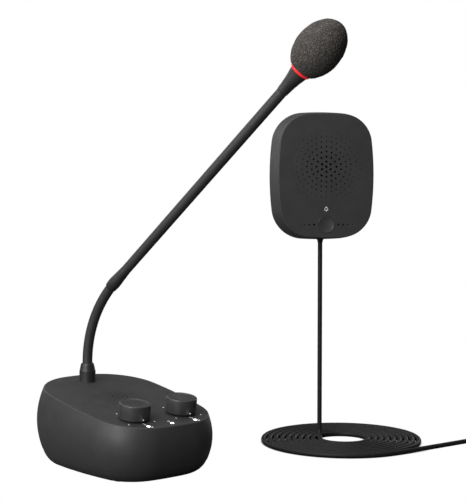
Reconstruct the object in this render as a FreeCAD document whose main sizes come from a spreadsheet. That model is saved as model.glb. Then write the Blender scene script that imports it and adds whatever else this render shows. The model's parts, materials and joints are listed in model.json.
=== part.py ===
"""Teller window intercom: desk unit with a gooseneck microphone, window unit and lead. Millimetres."""
import FreeCAD, Part
import math
import os

import Sketcher
from FreeCAD import Placement, Rotation, Vector

DIMENSIONS = {
    # desk base: outline at its widest level, panel and shell
    "base_half_width": 55.0,
    "base_front": 78.6,
    "base_back": 68.0,
    "base_side_arc": 330.0,
    "base_front_arc": 180.0,
    "base_back_arc": 165.0,
    "base_front_corner": 40.0,
    "base_back_corner": 46.0,
    "base_wall": 2.6,
    "floor_gap": 1.8,
    "panel_height": 55.87,
    "panel_slope": 9.2,
    "panel_edge_round": 1.0,
    # level of each outline as a share of the local height, and how far it is drawn in
    "heel_share": 0.04,
    "flank_share": 0.12,
    "seam_share": 0.22,
    "waist_share": 0.55,
    "inset_floor": 17.0,
    "inset_heel": 11.0,
    "inset_flank": 6.8,
    "inset_seam": 3.9,
    "inset_waist": 0.0,
    "inset_panel": 4.2,
    "panel_forward": 2.2,
    "seam_step": 0.3,
    # desk grille
    "grille_rings": 7,
    "desk_grille_pitch": 2.9,
    "desk_hole_large": 0.95,
    "desk_hole_small": 0.4,
    "desk_grille_reach": 1.2,
    # things on the panel, measured along it
    "knob_offset": 21.75,
    "knob_reach": 51.4,
    "knob_radius": 12.0,
    "knob_height": 11.3,
    "knob_gap": 1.2,
    "shaft_radius": 3.0,
    "running_gap": 0.06,
    "lens_reach": 70.4,
    "lens_radius": 1.5,
    "lens_stand": 0.25,
    "pinhole_offset": 10.0,
    "pinhole_radius": 0.8,
    # desk base inside
    "column_offset": 34.0,
    "column_front": 24.0,
    "column_back": 28.0,
    "column_radius": 4.0,
    "column_meeting": 17.0,
    "pilot_radius": 1.3,
    "screw_hole_radius": 1.7,
    "screw_head_room": 3.4,
    "bushing_room": 3.7,
    "neck_seat_radius": 9.0,
    "neck_seat_level": 55.6,
    "neck_hole_radius": 5.1,
    "foot_offset": 27.0,
    "foot_front": 40.0,
    "foot_back": 40.0,
    "foot_radius": 4.5,
    "board_half_width": 27.0,
    "board_thickness": 1.6,
    "main_board_level": 13.0,
    "main_board_front": 51.0,
    "main_board_back": 52.0,
    "post_front": 47.0,
    "post_back": 48.0,
    "post_offset": 22.0,
    "ballast_half_length": 42.0,
    "ballast_thickness": 5.0,
    "control_half_width": 30.0,
    "control_front": 67.0,
    "control_back": 36.0,
    "control_depth": 12.4,
    "desk_speaker_rim": 22.0,
    "desk_magnet_radius": 9.0,
    "desk_speaker_depth": 10.0,
    "socket_offset": 11.0,
    "socket_level": 29.0,
    "recess_depth_line": 64.0,
    "recess_half_width": 21.0,
    "recess_height": 15.0,
    "inlet_bore": 2.75,
    "inlet_room": 4.2,
    "lead_socket_room": 3.2,
    "inlet_depth": 9.0,
    "lead_bore": 1.8,
    "lead_depth": 14.0,
    # gooseneck, stem and microphone
    "neck_reach": 45.0,
    "collar_radius": 6.55,
    "collar_band": 9.0,
    "collar_height": 14.415,
    "neck_radius": 4.0,
    "neck_length": 74.95,
    "neck_bend": 47.04,
    "neck_turn": 16.8,
    "link_count": 7,
    "ball_radius": 3.0,
    "throat_radius": 1.7,
    "cup_rim": 1.45,
    "link_gap": 1.5,
    "sleeve_radius": 4.9,
    "sleeve_length": 18.0,
    "stem_end": 220.3,
    "stem_top_radius": 4.15,
    "stem_bore": 2.4,
    "head_top": 237.6,
    "head_radius": 7.7,
    "ring_radius": 8.1,
    "ring_height": 1.9,
    "capsule_radius": 5.0,
    "foam_radius": 17.4,
    "foam_middle": 19.8,
    "foam_lower": 24.0,
    "foam_upper": 25.6,
    # window unit: front outline, shell and place
    "window_half_width": 41.45,
    "window_half_height": 53.15,
    "window_side_arc": 253.6,
    "window_top_arc": 234.6,
    "window_corner": 26.0,
    "window_spread": 2.4,
    "window_wall": 2.4,
    "window_shell_depth": 31.0,
    "window_back_depth": 33.5,
    "window_edge_round": 0.7,
    "window_x": 191.65,
    "window_y": -33.7,
    "window_z": 229.75,
    "window_turn": -31.26,
    "window_grille_level": 7.6,
    "window_grille_pitch": 4.3,
    "window_hole_large": 1.15,
    "window_hole_small": 0.3,
    "button_level": -41.85,
    "button_radius": 7.3,
    "button_play": 0.2,
    "button_travel": 1.0,
    "dish_radius": 24.0,
    "dish_depth": 1.1,
    "speech_hole_start": 10.7,
    "speech_hole_step": 4.03,
    "window_boss_offset": 28.0,
    "window_boss_level": 39.5,
    "window_board_face": 12.0,
    "window_board_half_width": 23.0,
    "window_board_low": 47.0,
    "window_board_top": 29.0,
    "window_speaker_rim": 31.5,
    "window_magnet_radius": 15.0,
    "window_speaker_depth": 14.0,
    "pad_half_width": 20.0,
    "pad_half_height": 32.0,
    "pad_thickness": 1.5,
    "gland_depth": 17.0,
    "gland_offset": 1.66,
    "gland_length": 7.4,
    "gland_skirt": 2.5,
    "gland_below": 4.6,
    # lead
    "cord_radius": 2.0,
    "coil_heading": -129.53,
    "coil_start_radius": 19.2,
    "coil_pitch": 5.476,
    "coil_turns": 9.35,
    "coil_hole_radius": 17.2,
    "bend_run": 6.5,
    "boot_radius": 3.3,
    "boot_length": 14.0,
    "contact_radius": 1.75,
    "contact_length": 14.0,
}

UP = Vector(0, 0, 1)


class Size:
    """A number that also carries the spreadsheet expression it comes from."""

    def __init__(self, value, text):
        self.value = value
        self.text = text

    def joined(self, other, sign, value):
        """Return the Size for self sign other, with the given value."""
        return Size(value, "(%s %s %s)" % (self.text, sign, text_of(other)))

    def __add__(self, other):
        return self.joined(other, "+", self.value + number_of(other))

    def __sub__(self, other):
        return self.joined(other, "-", self.value - number_of(other))

    def __mul__(self, other):
        return self.joined(other, "*", self.value * number_of(other))

    def __truediv__(self, other):
        return self.joined(other, "/", self.value / number_of(other))

    def __rsub__(self, other):
        return Size(number_of(other) - self.value, "(%s - %s)" % (text_of(other), self.text))

    def __neg__(self):
        return Size(-self.value, "(-%s)" % self.text)

    def tangent(self):
        """Return the tangent of a size that is an angle in degrees."""
        return Size(math.tan(math.radians(self.value)), "tan(%s * 1 deg)" % self.text)


def number_of(item):
    """Return the plain number of a Size or a number."""
    return item.value if isinstance(item, Size) else float(item)


def text_of(item):
    """Return the expression text of a Size or a number."""
    return item.text if isinstance(item, Size) else repr(float(item))


def make_sheet(doc):
    """Write the driving dimensions to a spreadsheet and return them as Sizes by name."""
    sheet = doc.addObject("Spreadsheet::Sheet", "dims")
    sizes = {}
    for row, (alias, value) in enumerate(DIMENSIONS.items(), start=1):
        sheet.set("A%d" % row, alias)
        sheet.set("B%d" % row, str(value))
        sheet.setAlias("B%d" % row, alias)
        sizes[alias] = Size(value, "dims.%s" % alias)
    doc.recompute()
    return sizes


class Workshop:
    """Makes document objects whose sizes are bound to the spreadsheet."""

    def __init__(self, doc, sizes):
        self.doc = doc
        self.sizes = sizes
        self.finished = []
        self.count = 0

    def scratch(self, stem):
        """Return a fresh internal name."""
        self.count += 1
        return "%s_%d" % (stem, self.count)

    def bound(self, kind, stem, at=(0, 0, 0), **properties):
        """Make a primitive with its properties and place bound to sizes."""
        piece = self.doc.addObject(kind, self.scratch(stem))
        for name, size in properties.items():
            piece.setExpression(name, text_of(size))
        piece.Placement = Placement(Vector(*[number_of(size) for size in at]), Rotation())
        for axis, size in zip("xyz", at):
            if isinstance(size, Size):
                piece.setExpression("Placement.Base.%s" % axis, size.text)
        return piece

    def cylinder(self, radius, height, at=(0, 0, 0), turn=None):
        """Make a cylinder that stands on its place, turned by an (axis, degrees) pair."""
        piece = self.bound("Part::Cylinder", "cylinder", at, Radius=radius, Height=height)
        if turn:
            piece.Placement = Placement(Vector(*[number_of(size) for size in at]), Rotation(*turn))
        return piece

    def ball(self, radius, at=(0, 0, 0)):
        """Make a full sphere."""
        return self.bound("Part::Sphere", "ball", at, Radius=radius)

    def box(self, low, high):
        """Make a box from its low corner to its high corner."""
        span = [high[i] - low[i] for i in range(3)]
        return self.bound("Part::Box", "box", low, Length=span[0], Width=span[1], Height=span[2])

    def cut(self, base, tools, stem="cut"):
        """Take the tools away from the base."""
        tool = tools[0] if len(tools) == 1 else self.join(tools)
        piece = self.doc.addObject("Part::Cut", self.scratch(stem))
        piece.Base = base
        piece.Tool = tool
        return piece

    def join(self, pieces, stem="joined"):
        """Fuse the pieces into one."""
        piece = self.doc.addObject("Part::MultiFuse", self.scratch(stem))
        piece.Shapes = pieces
        return piece

    def common(self, first, second):
        """Keep what two pieces share."""
        piece = self.doc.addObject("Part::Common", self.scratch("common"))
        piece.Base = first
        piece.Tool = second
        return piece

    def loft(self, sections):
        """Make a solid through closed outlines."""
        piece = self.doc.addObject("Part::Loft", self.scratch("loft"))
        piece.Sections = sections
        piece.Solid = True
        piece.Ruled = False
        return piece

    def rounded(self, base, radius, wanted):
        """Round the edges of the base that the test picks."""
        self.doc.recompute()
        piece = self.doc.addObject("Part::Fillet", self.scratch("rounded"))
        piece.Base = base
        edges = enumerate(base.Shape.Edges, start=1)
        value = number_of(radius)
        piece.Edges = [(index, value, value) for index, edge in edges if wanted(edge)]
        return piece

    def turned(self, points, stem="turned"):
        """Revolve a closed outline of (radius, level) points about Z as a body."""
        body = self.doc.addObject("PartDesign::Body", self.scratch(stem))
        sketch = body.newObject("Sketcher::SketchObject", self.scratch("outline"))
        sketch.AttachmentSupport = [(origin_plane(body, "XZ_Plane"), "")]
        sketch.MapMode = "FlatFace"
        corners = [Vector(number_of(r), number_of(z), 0) for r, z in points]
        total = len(corners)
        for index, corner in enumerate(corners):
            sketch.addGeometry(Part.LineSegment(corner, corners[(index + 1) % total]), False)
        for index, (radius, level) in enumerate(points):
            sketch.addConstraint(Sketcher.Constraint("Coincident", (index - 1) % total, 2, index, 1))
            bind_point(sketch, index, "DistanceX", -2, radius)
            bind_point(sketch, index, "DistanceY", -1, level)
        turned = body.newObject("PartDesign::Revolution", self.scratch("revolution"))
        turned.Profile = sketch
        turned.ReferenceAxis = (sketch, ["V_Axis"])
        turned.Angle = 360
        return body

    def group(self, pieces, stem="group"):
        """Keep separate solids together as one compound."""
        piece = self.doc.addObject("Part::Compound", self.scratch(stem))
        piece.Links = pieces
        return piece

    def mirrored(self, piece):
        """Mirror a piece from one side of the middle plane to the other."""
        twin = self.doc.addObject("Part::Mirroring", self.scratch("mirrored"))
        twin.Source = piece
        twin.Base = Vector(0, 0, 0)
        twin.Normal = Vector(1, 0, 0)
        return twin

    def shaped(self, shape, stem):
        """Hold a shape that is built from the sheet's sizes in code."""
        piece = self.doc.addObject("Part::Feature", self.scratch(stem))
        piece.Shape = shape
        return piece

    def finish(self, label, piece, placement=None):
        """Name a finished piece after its node and set it in place."""
        piece.Label = label
        if placement is not None:
            piece.Placement = placement
        self.finished.append(piece)
        return piece


def origin_plane(body, role):
    """Return one of a body's own origin planes."""
    return next(item for item in body.Origin.OriginFeatures if item.Role == role)


def bind_point(sketch, index, kind, axis, size):
    """Hold a line's first point at a size from one sketch axis, or on the axis where it is zero."""
    if not isinstance(size, Size) and abs(size) < 1e-9:
        sketch.addConstraint(Sketcher.Constraint("PointOnObject", index, 1, axis))
        return
    held = sketch.addConstraint(Sketcher.Constraint(kind, -1, 1, index, 1, number_of(size)))
    if isinstance(size, Size):
        sketch.setExpression("Constraints[%d]" % held, size.text)


def arc_centre(first, first_radius, second, second_radius, pick):
    """Return the meeting point of two circles that pick prefers."""
    line = second - first
    along = (first_radius ** 2 - second_radius ** 2 + line.Length ** 2) / (2 * line.Length)
    aside = math.sqrt(first_radius ** 2 - along ** 2)
    direction = line / line.Length
    foot = first + direction * along
    normal = Vector(-direction.y, direction.x, 0) * aside
    return max((foot + normal, foot - normal), key=pick)


def bearing(centre, point):
    """Return the angle of a point seen from a centre."""
    return math.atan2(point.y - centre.y, point.x - centre.x)


def soft_outline(shop, stem, half_width, front, back, arcs):
    """Draw a closed outline of eight tangent arcs, symmetric about its Y axis.

    arcs holds the side, front and back arc radii, then the front and back corner radii.
    """
    side_arc, front_arc, back_arc, front_corner, back_corner = arcs
    side, low, high, near, far = [number_of(size) for size in arcs]
    side_centre = Vector(number_of(half_width) - side, 0, 0)
    front_centre = Vector(0, low - number_of(front), 0)
    back_centre = Vector(0, number_of(back) - high, 0)
    near_centre = arc_centre(side_centre, side - near, front_centre, low - near, lambda p: p.x - p.y)
    far_centre = arc_centre(side_centre, side - far, back_centre, high - far, lambda p: p.x + p.y)
    first = bearing(front_centre, near_centre)
    second = bearing(side_centre, near_centre)
    third = bearing(side_centre, far_centre)
    fourth = bearing(back_centre, far_centre)

    def other_side(point):
        return Vector(-point.x, point.y, 0)

    pieces = [
        (front_centre, low, -math.pi - first, first),
        (near_centre, near, first, second),
        (side_centre, side, second, third),
        (far_centre, far, third, fourth),
        (back_centre, high, fourth, math.pi - fourth),
        (other_side(far_centre), far, math.pi - fourth, math.pi - third),
        (other_side(side_centre), side, math.pi - third, math.pi - second),
        (other_side(near_centre), near, math.pi - second, math.pi - first),
    ]
    sketch = shop.doc.addObject("Sketcher::SketchObject", shop.scratch(stem))
    for centre, radius, start, end in pieces:
        circle = Part.Circle(centre, Vector(0, 0, 1), radius)
        sketch.addGeometry(Part.ArcOfCircle(circle, start, end), False)
    for index in range(8):
        sketch.addConstraint(Sketcher.Constraint("Tangent", index, 2, (index + 1) % 8, 1))
    for arc, axis in ((0, -2), (4, -2), (2, -1), (6, -1)):
        sketch.addConstraint(Sketcher.Constraint("PointOnObject", arc, 3, axis))
    for arc, twin in ((2, 6), (1, 7), (3, 5)):
        sketch.addConstraint(Sketcher.Constraint("Equal", arc, twin))
    radii = ((0, front_arc), (2, side_arc), (4, back_arc), (1, front_corner), (3, back_corner))
    for arc, size in radii:
        held = sketch.addConstraint(Sketcher.Constraint("Radius", arc, number_of(size)))
        sketch.setExpression("Constraints[%d]" % held, text_of(size))
    centres = (
        ("DistanceY", 0, front_arc - front),
        ("DistanceY", 4, back - back_arc),
        ("DistanceX", 2, half_width - side_arc),
        ("DistanceX", 6, side_arc - half_width),
    )
    for kind, arc, size in centres:
        held = sketch.addConstraint(Sketcher.Constraint(kind, -1, 1, arc, 3, number_of(size)))
        sketch.setExpression("Constraints[%d]" % held, text_of(size))
    return sketch


def base_outline(shop, inset, share, lift=0.0):
    """Draw the desk base's outline, drawn in by inset, on the level plane of a height share.

    The outline of the panel, at share 1, stands a little further forward on its own plane.
    """
    s = shop.sizes
    arcs = [s[name] - inset for name in
            ("base_side_arc", "base_front_arc", "base_back_arc", "base_front_corner", "base_back_corner")]
    half_width = s["base_half_width"] - inset
    sketch = soft_outline(shop, "level", half_width, s["base_front"] - inset, s["base_back"] - inset, arcs)
    level = (s["panel_height"] - s["floor_gap"]) * share + s["floor_gap"] + lift
    slope = s["panel_slope"] * share
    forward = s["panel_forward"] if share == 1.0 else s["panel_forward"] * 0.0
    level = level - slope.tangent() * forward
    sketch.Placement = Placement(Vector(0, -forward.value, level.value), Rotation(Vector(1, 0, 0), slope.value))
    sketch.setExpression("Placement.Base.y", (-forward).text)
    sketch.setExpression("Placement.Base.z", level.text)
    sketch.setExpression("Placement.Rotation.Angle", slope.text)
    return sketch


def window_outline(shop, inset, depth):
    """Draw the window unit's outline, drawn in by inset, at a depth behind its front face."""
    s = shop.sizes
    side_arc = s["window_side_arc"] - inset
    top_arc = s["window_top_arc"] - inset
    corner = s["window_corner"] - inset
    half_width = s["window_half_width"] - inset
    half_height = s["window_half_height"] - inset
    arcs = (side_arc, top_arc, top_arc, corner, corner)
    sketch = soft_outline(shop, "face", half_width, half_height, half_height, arcs)
    sketch.Placement = Placement(Vector(0, number_of(depth), 0), Rotation(Vector(1, 0, 0), 90))
    sketch.setExpression("Placement.Base.y", text_of(depth))
    return sketch


def panel_frame(s, x=0.0, y=0.0, z=0.0):
    """Return a place given in the panel's own directions, from the panel's middle line."""
    slope = Rotation(Vector(1, 0, 0), s["panel_slope"].value)
    panel = Placement(Vector(0, 0, s["panel_height"].value), slope)
    return panel * Placement(Vector(number_of(x), number_of(y), number_of(z)), Rotation())


def window_frame(s):
    """Return the window unit's place: front face middle, +Y into the unit, +Z up."""
    corner = Vector(s["window_x"].value, s["window_y"].value, s["window_z"].value)
    return Placement(corner, Rotation(Vector(0, 0, 1), s["window_turn"].value))


def window_part(s, x=0.0, depth=0.0, z=0.0, facing=90.0):
    """Return a place in the window unit for a piece turned about Z: +Z faces out, or in at -90."""
    local = Placement(Vector(number_of(x), number_of(depth), number_of(z)), Rotation(Vector(1, 0, 0), facing))
    return window_frame(s) * local


def ring_holes(pitch, rings, large, small, depth):
    """Return cylinders on concentric rings, six more on each ring and smaller outwards."""
    drills = []
    for ring in range(rings + 1):
        radius = large + (small - large) * ring / rings
        for step in range(max(1, 6 * ring)):
            angle = math.pi / 2 + math.tau * step / max(1, 6 * ring)
            foot = Vector(ring * pitch * math.cos(angle), ring * pitch * math.sin(angle), -depth)
            drills.append(Part.makeCylinder(radius, 2 * depth, foot))
    return Part.makeCompound(drills)


def panel_drills(shop):
    """Return the tools that open the panel: grille, knob, lens, neck and pin holes."""
    s = shop.sizes
    rings = int(s["grille_rings"].value)
    reach = 6.0
    holes = ring_holes(s["desk_grille_pitch"].value, rings, s["desk_hole_large"].value,
                       s["desk_hole_small"].value, reach)
    grille = shop.shaped(holes, "desk_grille")
    grille.Placement = panel_frame(s, 0, -s["desk_grille_reach"])
    tools = [grille]
    for side in (-1, 1):
        knob = shop.cylinder(s["bushing_room"], 2 * reach)
        knob.Placement = panel_frame(s, s["knob_offset"] * side, -s["knob_reach"], -reach)
        tools.append(knob)
    for side in (-1, 0, 1):
        lens = shop.cylinder(s["lens_radius"] + s["running_gap"], 2 * reach)
        lens.Placement = panel_frame(s, s["knob_offset"] * side, -s["lens_reach"], -reach)
        tools.append(lens)
    below_seat = s["neck_seat_level"] - 7
    tools.append(shop.cylinder(s["neck_hole_radius"], 20, (0, s["neck_reach"], below_seat)))
    tools.append(shop.cylinder(s["pinhole_radius"], 20, (-s["pinhole_offset"], s["neck_reach"], below_seat)))
    return tools


def panel_level(s, y):
    """Return the height of the panel's surface at a distance y behind the middle."""
    return s["panel_slope"].tangent() * y + s["panel_height"]


def corners_of(offset, front, back):
    """Return the four (x, y) places of pieces at the corners of a rectangle."""
    return [(offset * side, reach * sign) for reach, sign in ((front, -1), (back, 1)) for side in (-1, 1)]


def desk_top_shell(shop):
    """Return the flared walls with the sloping panel, and their outside alone."""
    s = shop.sizes
    wall = s["base_wall"]
    levels = (
        (s["inset_seam"], s["seam_share"], 0.0),
        (s["inset_waist"], s["waist_share"], 0.0),
        (s["inset_panel"], 1.0, -wall),
    )
    outer = [base_outline(shop, inset, share) for inset, share, _ in levels]
    inner = [base_outline(shop, inset + wall, share, lowered) for inset, share, lowered in levels]
    block = shop.loft(outer)
    above_walls = s["panel_height"].value * 0.6

    def on_panel(edge):
        return min(vertex.Point.z for vertex in edge.Vertexes) > above_walls

    body = shop.rounded(block, s["panel_edge_round"], on_panel)
    return shop.cut(body, [shop.loft(inner)], "top_shell"), block


def desk_top_cover(shop):
    """Upper shell: flared walls, sloping panel, screw columns, neck seat and socket recess."""
    s = shop.sizes
    wall = s["base_wall"]
    shell, block = desk_top_shell(shop)
    columns = corners_of(s["column_offset"], s["column_front"], s["column_back"])
    added = []
    tools = panel_drills(shop)
    foot = s["column_meeting"]
    for x, y in columns:
        top = panel_level(s, y) - wall / 2
        added.append(shop.cylinder(s["column_radius"], top - foot, (x, y, foot)))
        tools.append(shop.cylinder(s["pilot_radius"], 12, (x, y, foot - 1)))
    added.append(shop.cylinder(s["neck_seat_radius"], 6, (0, s["neck_reach"], s["neck_seat_level"])))
    half = s["recess_half_width"]
    tall = s["recess_height"] / 2
    middle = s["socket_level"]
    line = s["recess_depth_line"]
    rim = 2.0
    back = shop.box((-half - rim, line - 6, middle - tall - rim), (half + rim, line + 8, middle + tall + rim))
    added.append(shop.common(back, block))
    tools.append(shop.box((-half, line, middle - tall), (half, line + 10, middle + tall)))
    for sign, room in ((-1, s["inlet_room"]), (1, s["lead_socket_room"])):
        foot = (s["socket_offset"] * sign, line - 7, middle)
        tools.append(shop.cylinder(room, 10, foot, (Vector(1, 0, 0), -90)))
    shop.finish("desk_top_cover", shop.cut(shop.join([shell] + added, "filled_shell"), tools))


def desk_bottom_cover(shop):
    """Lower shell: rounded under edge, screw columns and board posts."""
    s = shop.sizes
    wall = s["base_wall"]
    levels = ((s["inset_floor"], 0.0), (s["inset_heel"], s["heel_share"]), (s["inset_flank"], s["flank_share"]),
              (s["inset_seam"] + s["seam_step"], s["seam_share"]))
    body = shop.loft([base_outline(shop, inset, share) for inset, share in levels])
    curl = wall + 0.6
    hollow = shop.loft([
        base_outline(shop, s["inset_heel"] + curl, 0.0, wall),
        base_outline(shop, s["inset_flank"] + curl, s["flank_share"]),
        base_outline(shop, s["inset_seam"] + wall, s["seam_share"]),
    ])
    floor = s["floor_gap"] + wall / 2
    column_top = s["column_meeting"] - 0.4
    board = s["main_board_level"]
    added = []
    tools = []
    for x, y in corners_of(s["column_offset"], s["column_front"], s["column_back"]):
        added.append(shop.cylinder(s["column_radius"] + 0.5, column_top - floor, (x, y, floor)))
        tools.append(shop.cylinder(s["screw_hole_radius"], 20, (x, y, 0)))
        tools.append(shop.cylinder(s["screw_head_room"], 5.6, (x, y, 0)))
    for x, y in corners_of(s["post_offset"], s["post_front"], s["post_back"]):
        added.append(shop.cylinder(3, board - floor, (x, y, floor)))
        tools.append(shop.cylinder(1.1, 8, (x, y, board - 7.5)))
    shell = shop.cut(body, [hollow], "bottom_shell")
    shop.finish("desk_bottom_cover", shop.cut(shop.join([shell] + added, "filled_tray"), tools))


def four_of(shop, label, points, offset, front, back, level):
    """Make four equal turned pieces at the corners of a rectangle as one node."""
    pieces = []
    for reach in (-front, back):
        piece = shop.turned(points)
        piece.Placement = Placement(Vector(number_of(offset), number_of(reach), number_of(level)), Rotation())
        pieces += [piece, shop.mirrored(piece)]
    shop.finish(label, shop.group(pieces))


def base_fasteners(shop):
    """Four rubber feet, the case screws and the board screws."""
    s = shop.sizes
    foot = s["foot_radius"]
    rubber = [(0, 0), (foot - 0.4, 0), (foot, 0.4), (foot, s["floor_gap"]), (0, s["floor_gap"])]
    four_of(shop, "desk_feet", rubber, s["foot_offset"], s["foot_front"], s["foot_back"], 0)
    case_screw = [(0, 1.2), (1.2, 1.2), (1.2, 0), (3, 0), (3, 1.9), (1.25, 1.9), (1.25, 20), (0, 21)]
    head_level = 3.7
    four_of(shop, "desk_case_screws", case_screw, s["column_offset"], s["column_front"], s["column_back"],
            head_level)
    board_screw = [(0, 0), (1.05, 0.8), (1.05, 7.2), (2.2, 7.2), (2.2, 8.7), (1.0, 8.7), (1.0, 8), (0, 8)]
    board_top = s["main_board_level"] + s["board_thickness"]
    four_of(shop, "board_screws", board_screw, s["post_offset"], s["post_front"], s["post_back"],
            board_top - 7.2)


def base_inside(shop):
    """Ballast plate and the two circuit boards."""
    s = shop.sizes
    half = s["board_half_width"]
    floor = s["floor_gap"] + s["base_wall"]
    reach = s["ballast_half_length"]
    plate = shop.box((-half, -reach, floor), (half, reach, floor + s["ballast_thickness"]))
    shop.finish("ballast_plate", plate)
    level = s["main_board_level"]
    front = s["main_board_front"]
    board = shop.box((-half, -front, level), (half, s["main_board_back"], level + s["board_thickness"]))
    posts = corners_of(s["post_offset"], s["post_front"], s["post_back"])
    shop.finish("main_board", shop.cut(board, [shop.cylinder(1.2, 6, (x, y, level - 2)) for x, y in posts]))
    half = s["control_half_width"]
    behind = -s["control_depth"]
    control = shop.box((-half, -s["control_front"], behind - s["board_thickness"]),
                       (half, -s["control_back"], behind))
    shop.finish("control_board", shop.group([control]), panel_frame(s))


def knobs(shop):
    """Each volume control: potentiometer with its bushing, turning shaft and knob."""
    s = shop.sizes
    shaft = s["shaft_radius"]
    bore = shaft + s["running_gap"]
    outer = s["knob_radius"]
    tall = s["knob_height"]
    for side, name in ((-1, "left"), (1, "right")):
        x = s["knob_offset"] * side
        pot = shop.turned([(0, 0), (8, 0), (8, 8), (3.5, 8), (3.5, 13), (bore, 13), (bore, 2), (0, 2)])
        shop.finish(name + "_potentiometer", pot, panel_frame(s, x, -s["knob_reach"], -s["control_depth"]))
        spindle = shop.turned([(0, 0), (shaft, 0), (shaft, 18.4), (shaft - 0.5, 19), (0, 19)])
        shaft_foot = 2.2 - s["control_depth"]
        shop.finish(name + "_pot_shaft", spindle, panel_frame(s, x, -s["knob_reach"], shaft_foot))
        cap = [(0, 8), (shaft + 0.02, 8), (shaft + 0.02, 1), (5, 1), (5, 6.5), (outer - 1.6, 6.5),
               (outer - 1.6, 0), (outer, 0), (outer, tall - 0.9), (outer - 0.25, tall - 0.3),
               (outer - 0.9, tall), (outer - 1.8, tall), (outer - 2.3, tall - 0.5), (0, tall - 0.7)]
        shop.finish(name + "_knob", shop.turned(cap), panel_frame(s, x, -s["knob_reach"], s["knob_gap"]))


def indicators(shop):
    """Three white light guides in front of the knobs."""
    s = shop.sizes
    radius = s["lens_radius"]
    depth = 3.6
    crown = s["lens_stand"] + depth
    for side, name in ((-1, "left"), (0, "centre"), (1, "right")):
        guide = [(0, 0), (radius, 0), (radius, crown - 0.2), (radius - 0.4, crown), (0, crown)]
        place = panel_frame(s, s["knob_offset"] * side, -s["lens_reach"], -depth)
        shop.finish(name + "_indicator", shop.turned(guide), place)


def speaker(shop, prefix, place):
    """A loudspeaker in three pieces: frame, cone and magnet; +Z runs to its back."""
    s = shop.sizes
    rim = s[prefix + "_speaker_rim"]
    magnet = s[prefix + "_magnet_radius"]
    depth = s[prefix + "_speaker_depth"]
    throat = magnet + 1.2
    frame = [(rim - 3.4, 0), (rim, 0), (rim, 1.2), (rim - 2.6, 1.2), (throat, depth), (0, depth),
             (0, depth - 0.9), (throat - 0.6, depth - 0.9), (rim - 3.4, 0.9)]
    shop.finish(prefix + "_speaker_frame", shop.turned(frame), place)
    edge = rim - 4.6
    cone = [(edge, 0.4), (edge, 1.0), (magnet * 0.5, depth - 2.4), (0, depth - 3.4), (0, depth - 4.0),
            (magnet * 0.5, depth - 3.0)]
    shop.finish(prefix + "_speaker_cone", shop.turned(cone), place)
    block = [(0, depth), (magnet, depth), (magnet, depth + 6.5), (0, depth + 6.5)]
    shop.finish(prefix + "_speaker_magnet", shop.turned(block), place)


def rear_sockets(shop):
    """Power inlet and the socket for the window unit's lead, flush with the rear recess."""
    s = shop.sizes
    line = s["recess_depth_line"]
    pin = 0.9
    body = s["inlet_room"] - 0.1
    inlet = shop.turned([(s["inlet_bore"], 0), (body, 0), (body, 6), (5, 6), (5, 12), (0, 12),
                         (0, s["inlet_depth"]), (s["inlet_bore"], s["inlet_depth"])])
    inward = Rotation(Vector(1, 0, 0), 90)
    place = Placement(Vector(-s["socket_offset"].value, line.value, s["socket_level"].value), inward)
    inlet_pin = shop.cylinder(pin, s["inlet_depth"] - 1, (0, 0, 1.5))
    shop.finish("power_inlet", shop.join([inlet, inlet_pin]), place)
    body = s["lead_socket_room"] - 0.1
    socket = shop.turned([(s["lead_bore"], 0), (body, 0), (body, 6), (4, 6), (4, 16), (0, 16),
                          (0, s["lead_depth"]), (s["lead_bore"], s["lead_depth"])])
    place = Placement(Vector(s["socket_offset"].value, line.value, s["socket_level"].value), inward)
    shop.finish("lead_socket", socket, place)


class Neck:
    """Joint points and directions of the bent gooseneck."""

    def __init__(self, s):
        self.joints = int(s["link_count"].value) + 1
        self.step = s["neck_bend"].value / self.joints
        self.span = s["neck_length"].value / self.joints
        turn = math.radians(s["neck_turn"].value)
        self.axis = Vector(math.cos(turn), math.sin(turn), 0)
        self.foot = Vector(0, s["neck_reach"].value, collar_top(s).value)

    def direction(self, index):
        """Return the neck's direction after a number of joints."""
        return Rotation(self.axis, self.step * index).multVec(Vector(0, 0, 1))

    def joint(self, number):
        """Return the point of a joint, counted from one."""
        point = self.foot + Vector(0, 0, self.span / 2)
        for index in range(1, number):
            point = point + self.direction(index) * self.span
        return point

    def place(self, number):
        """Return the place of the piece above a joint, with +Z along it."""
        return Placement(self.joint(number), Rotation(self.axis, self.step * number))


def collar_top(s):
    """Return the height of the collar's top edge."""
    return panel_level(s, s["neck_reach"]) + s["collar_height"]


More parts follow.
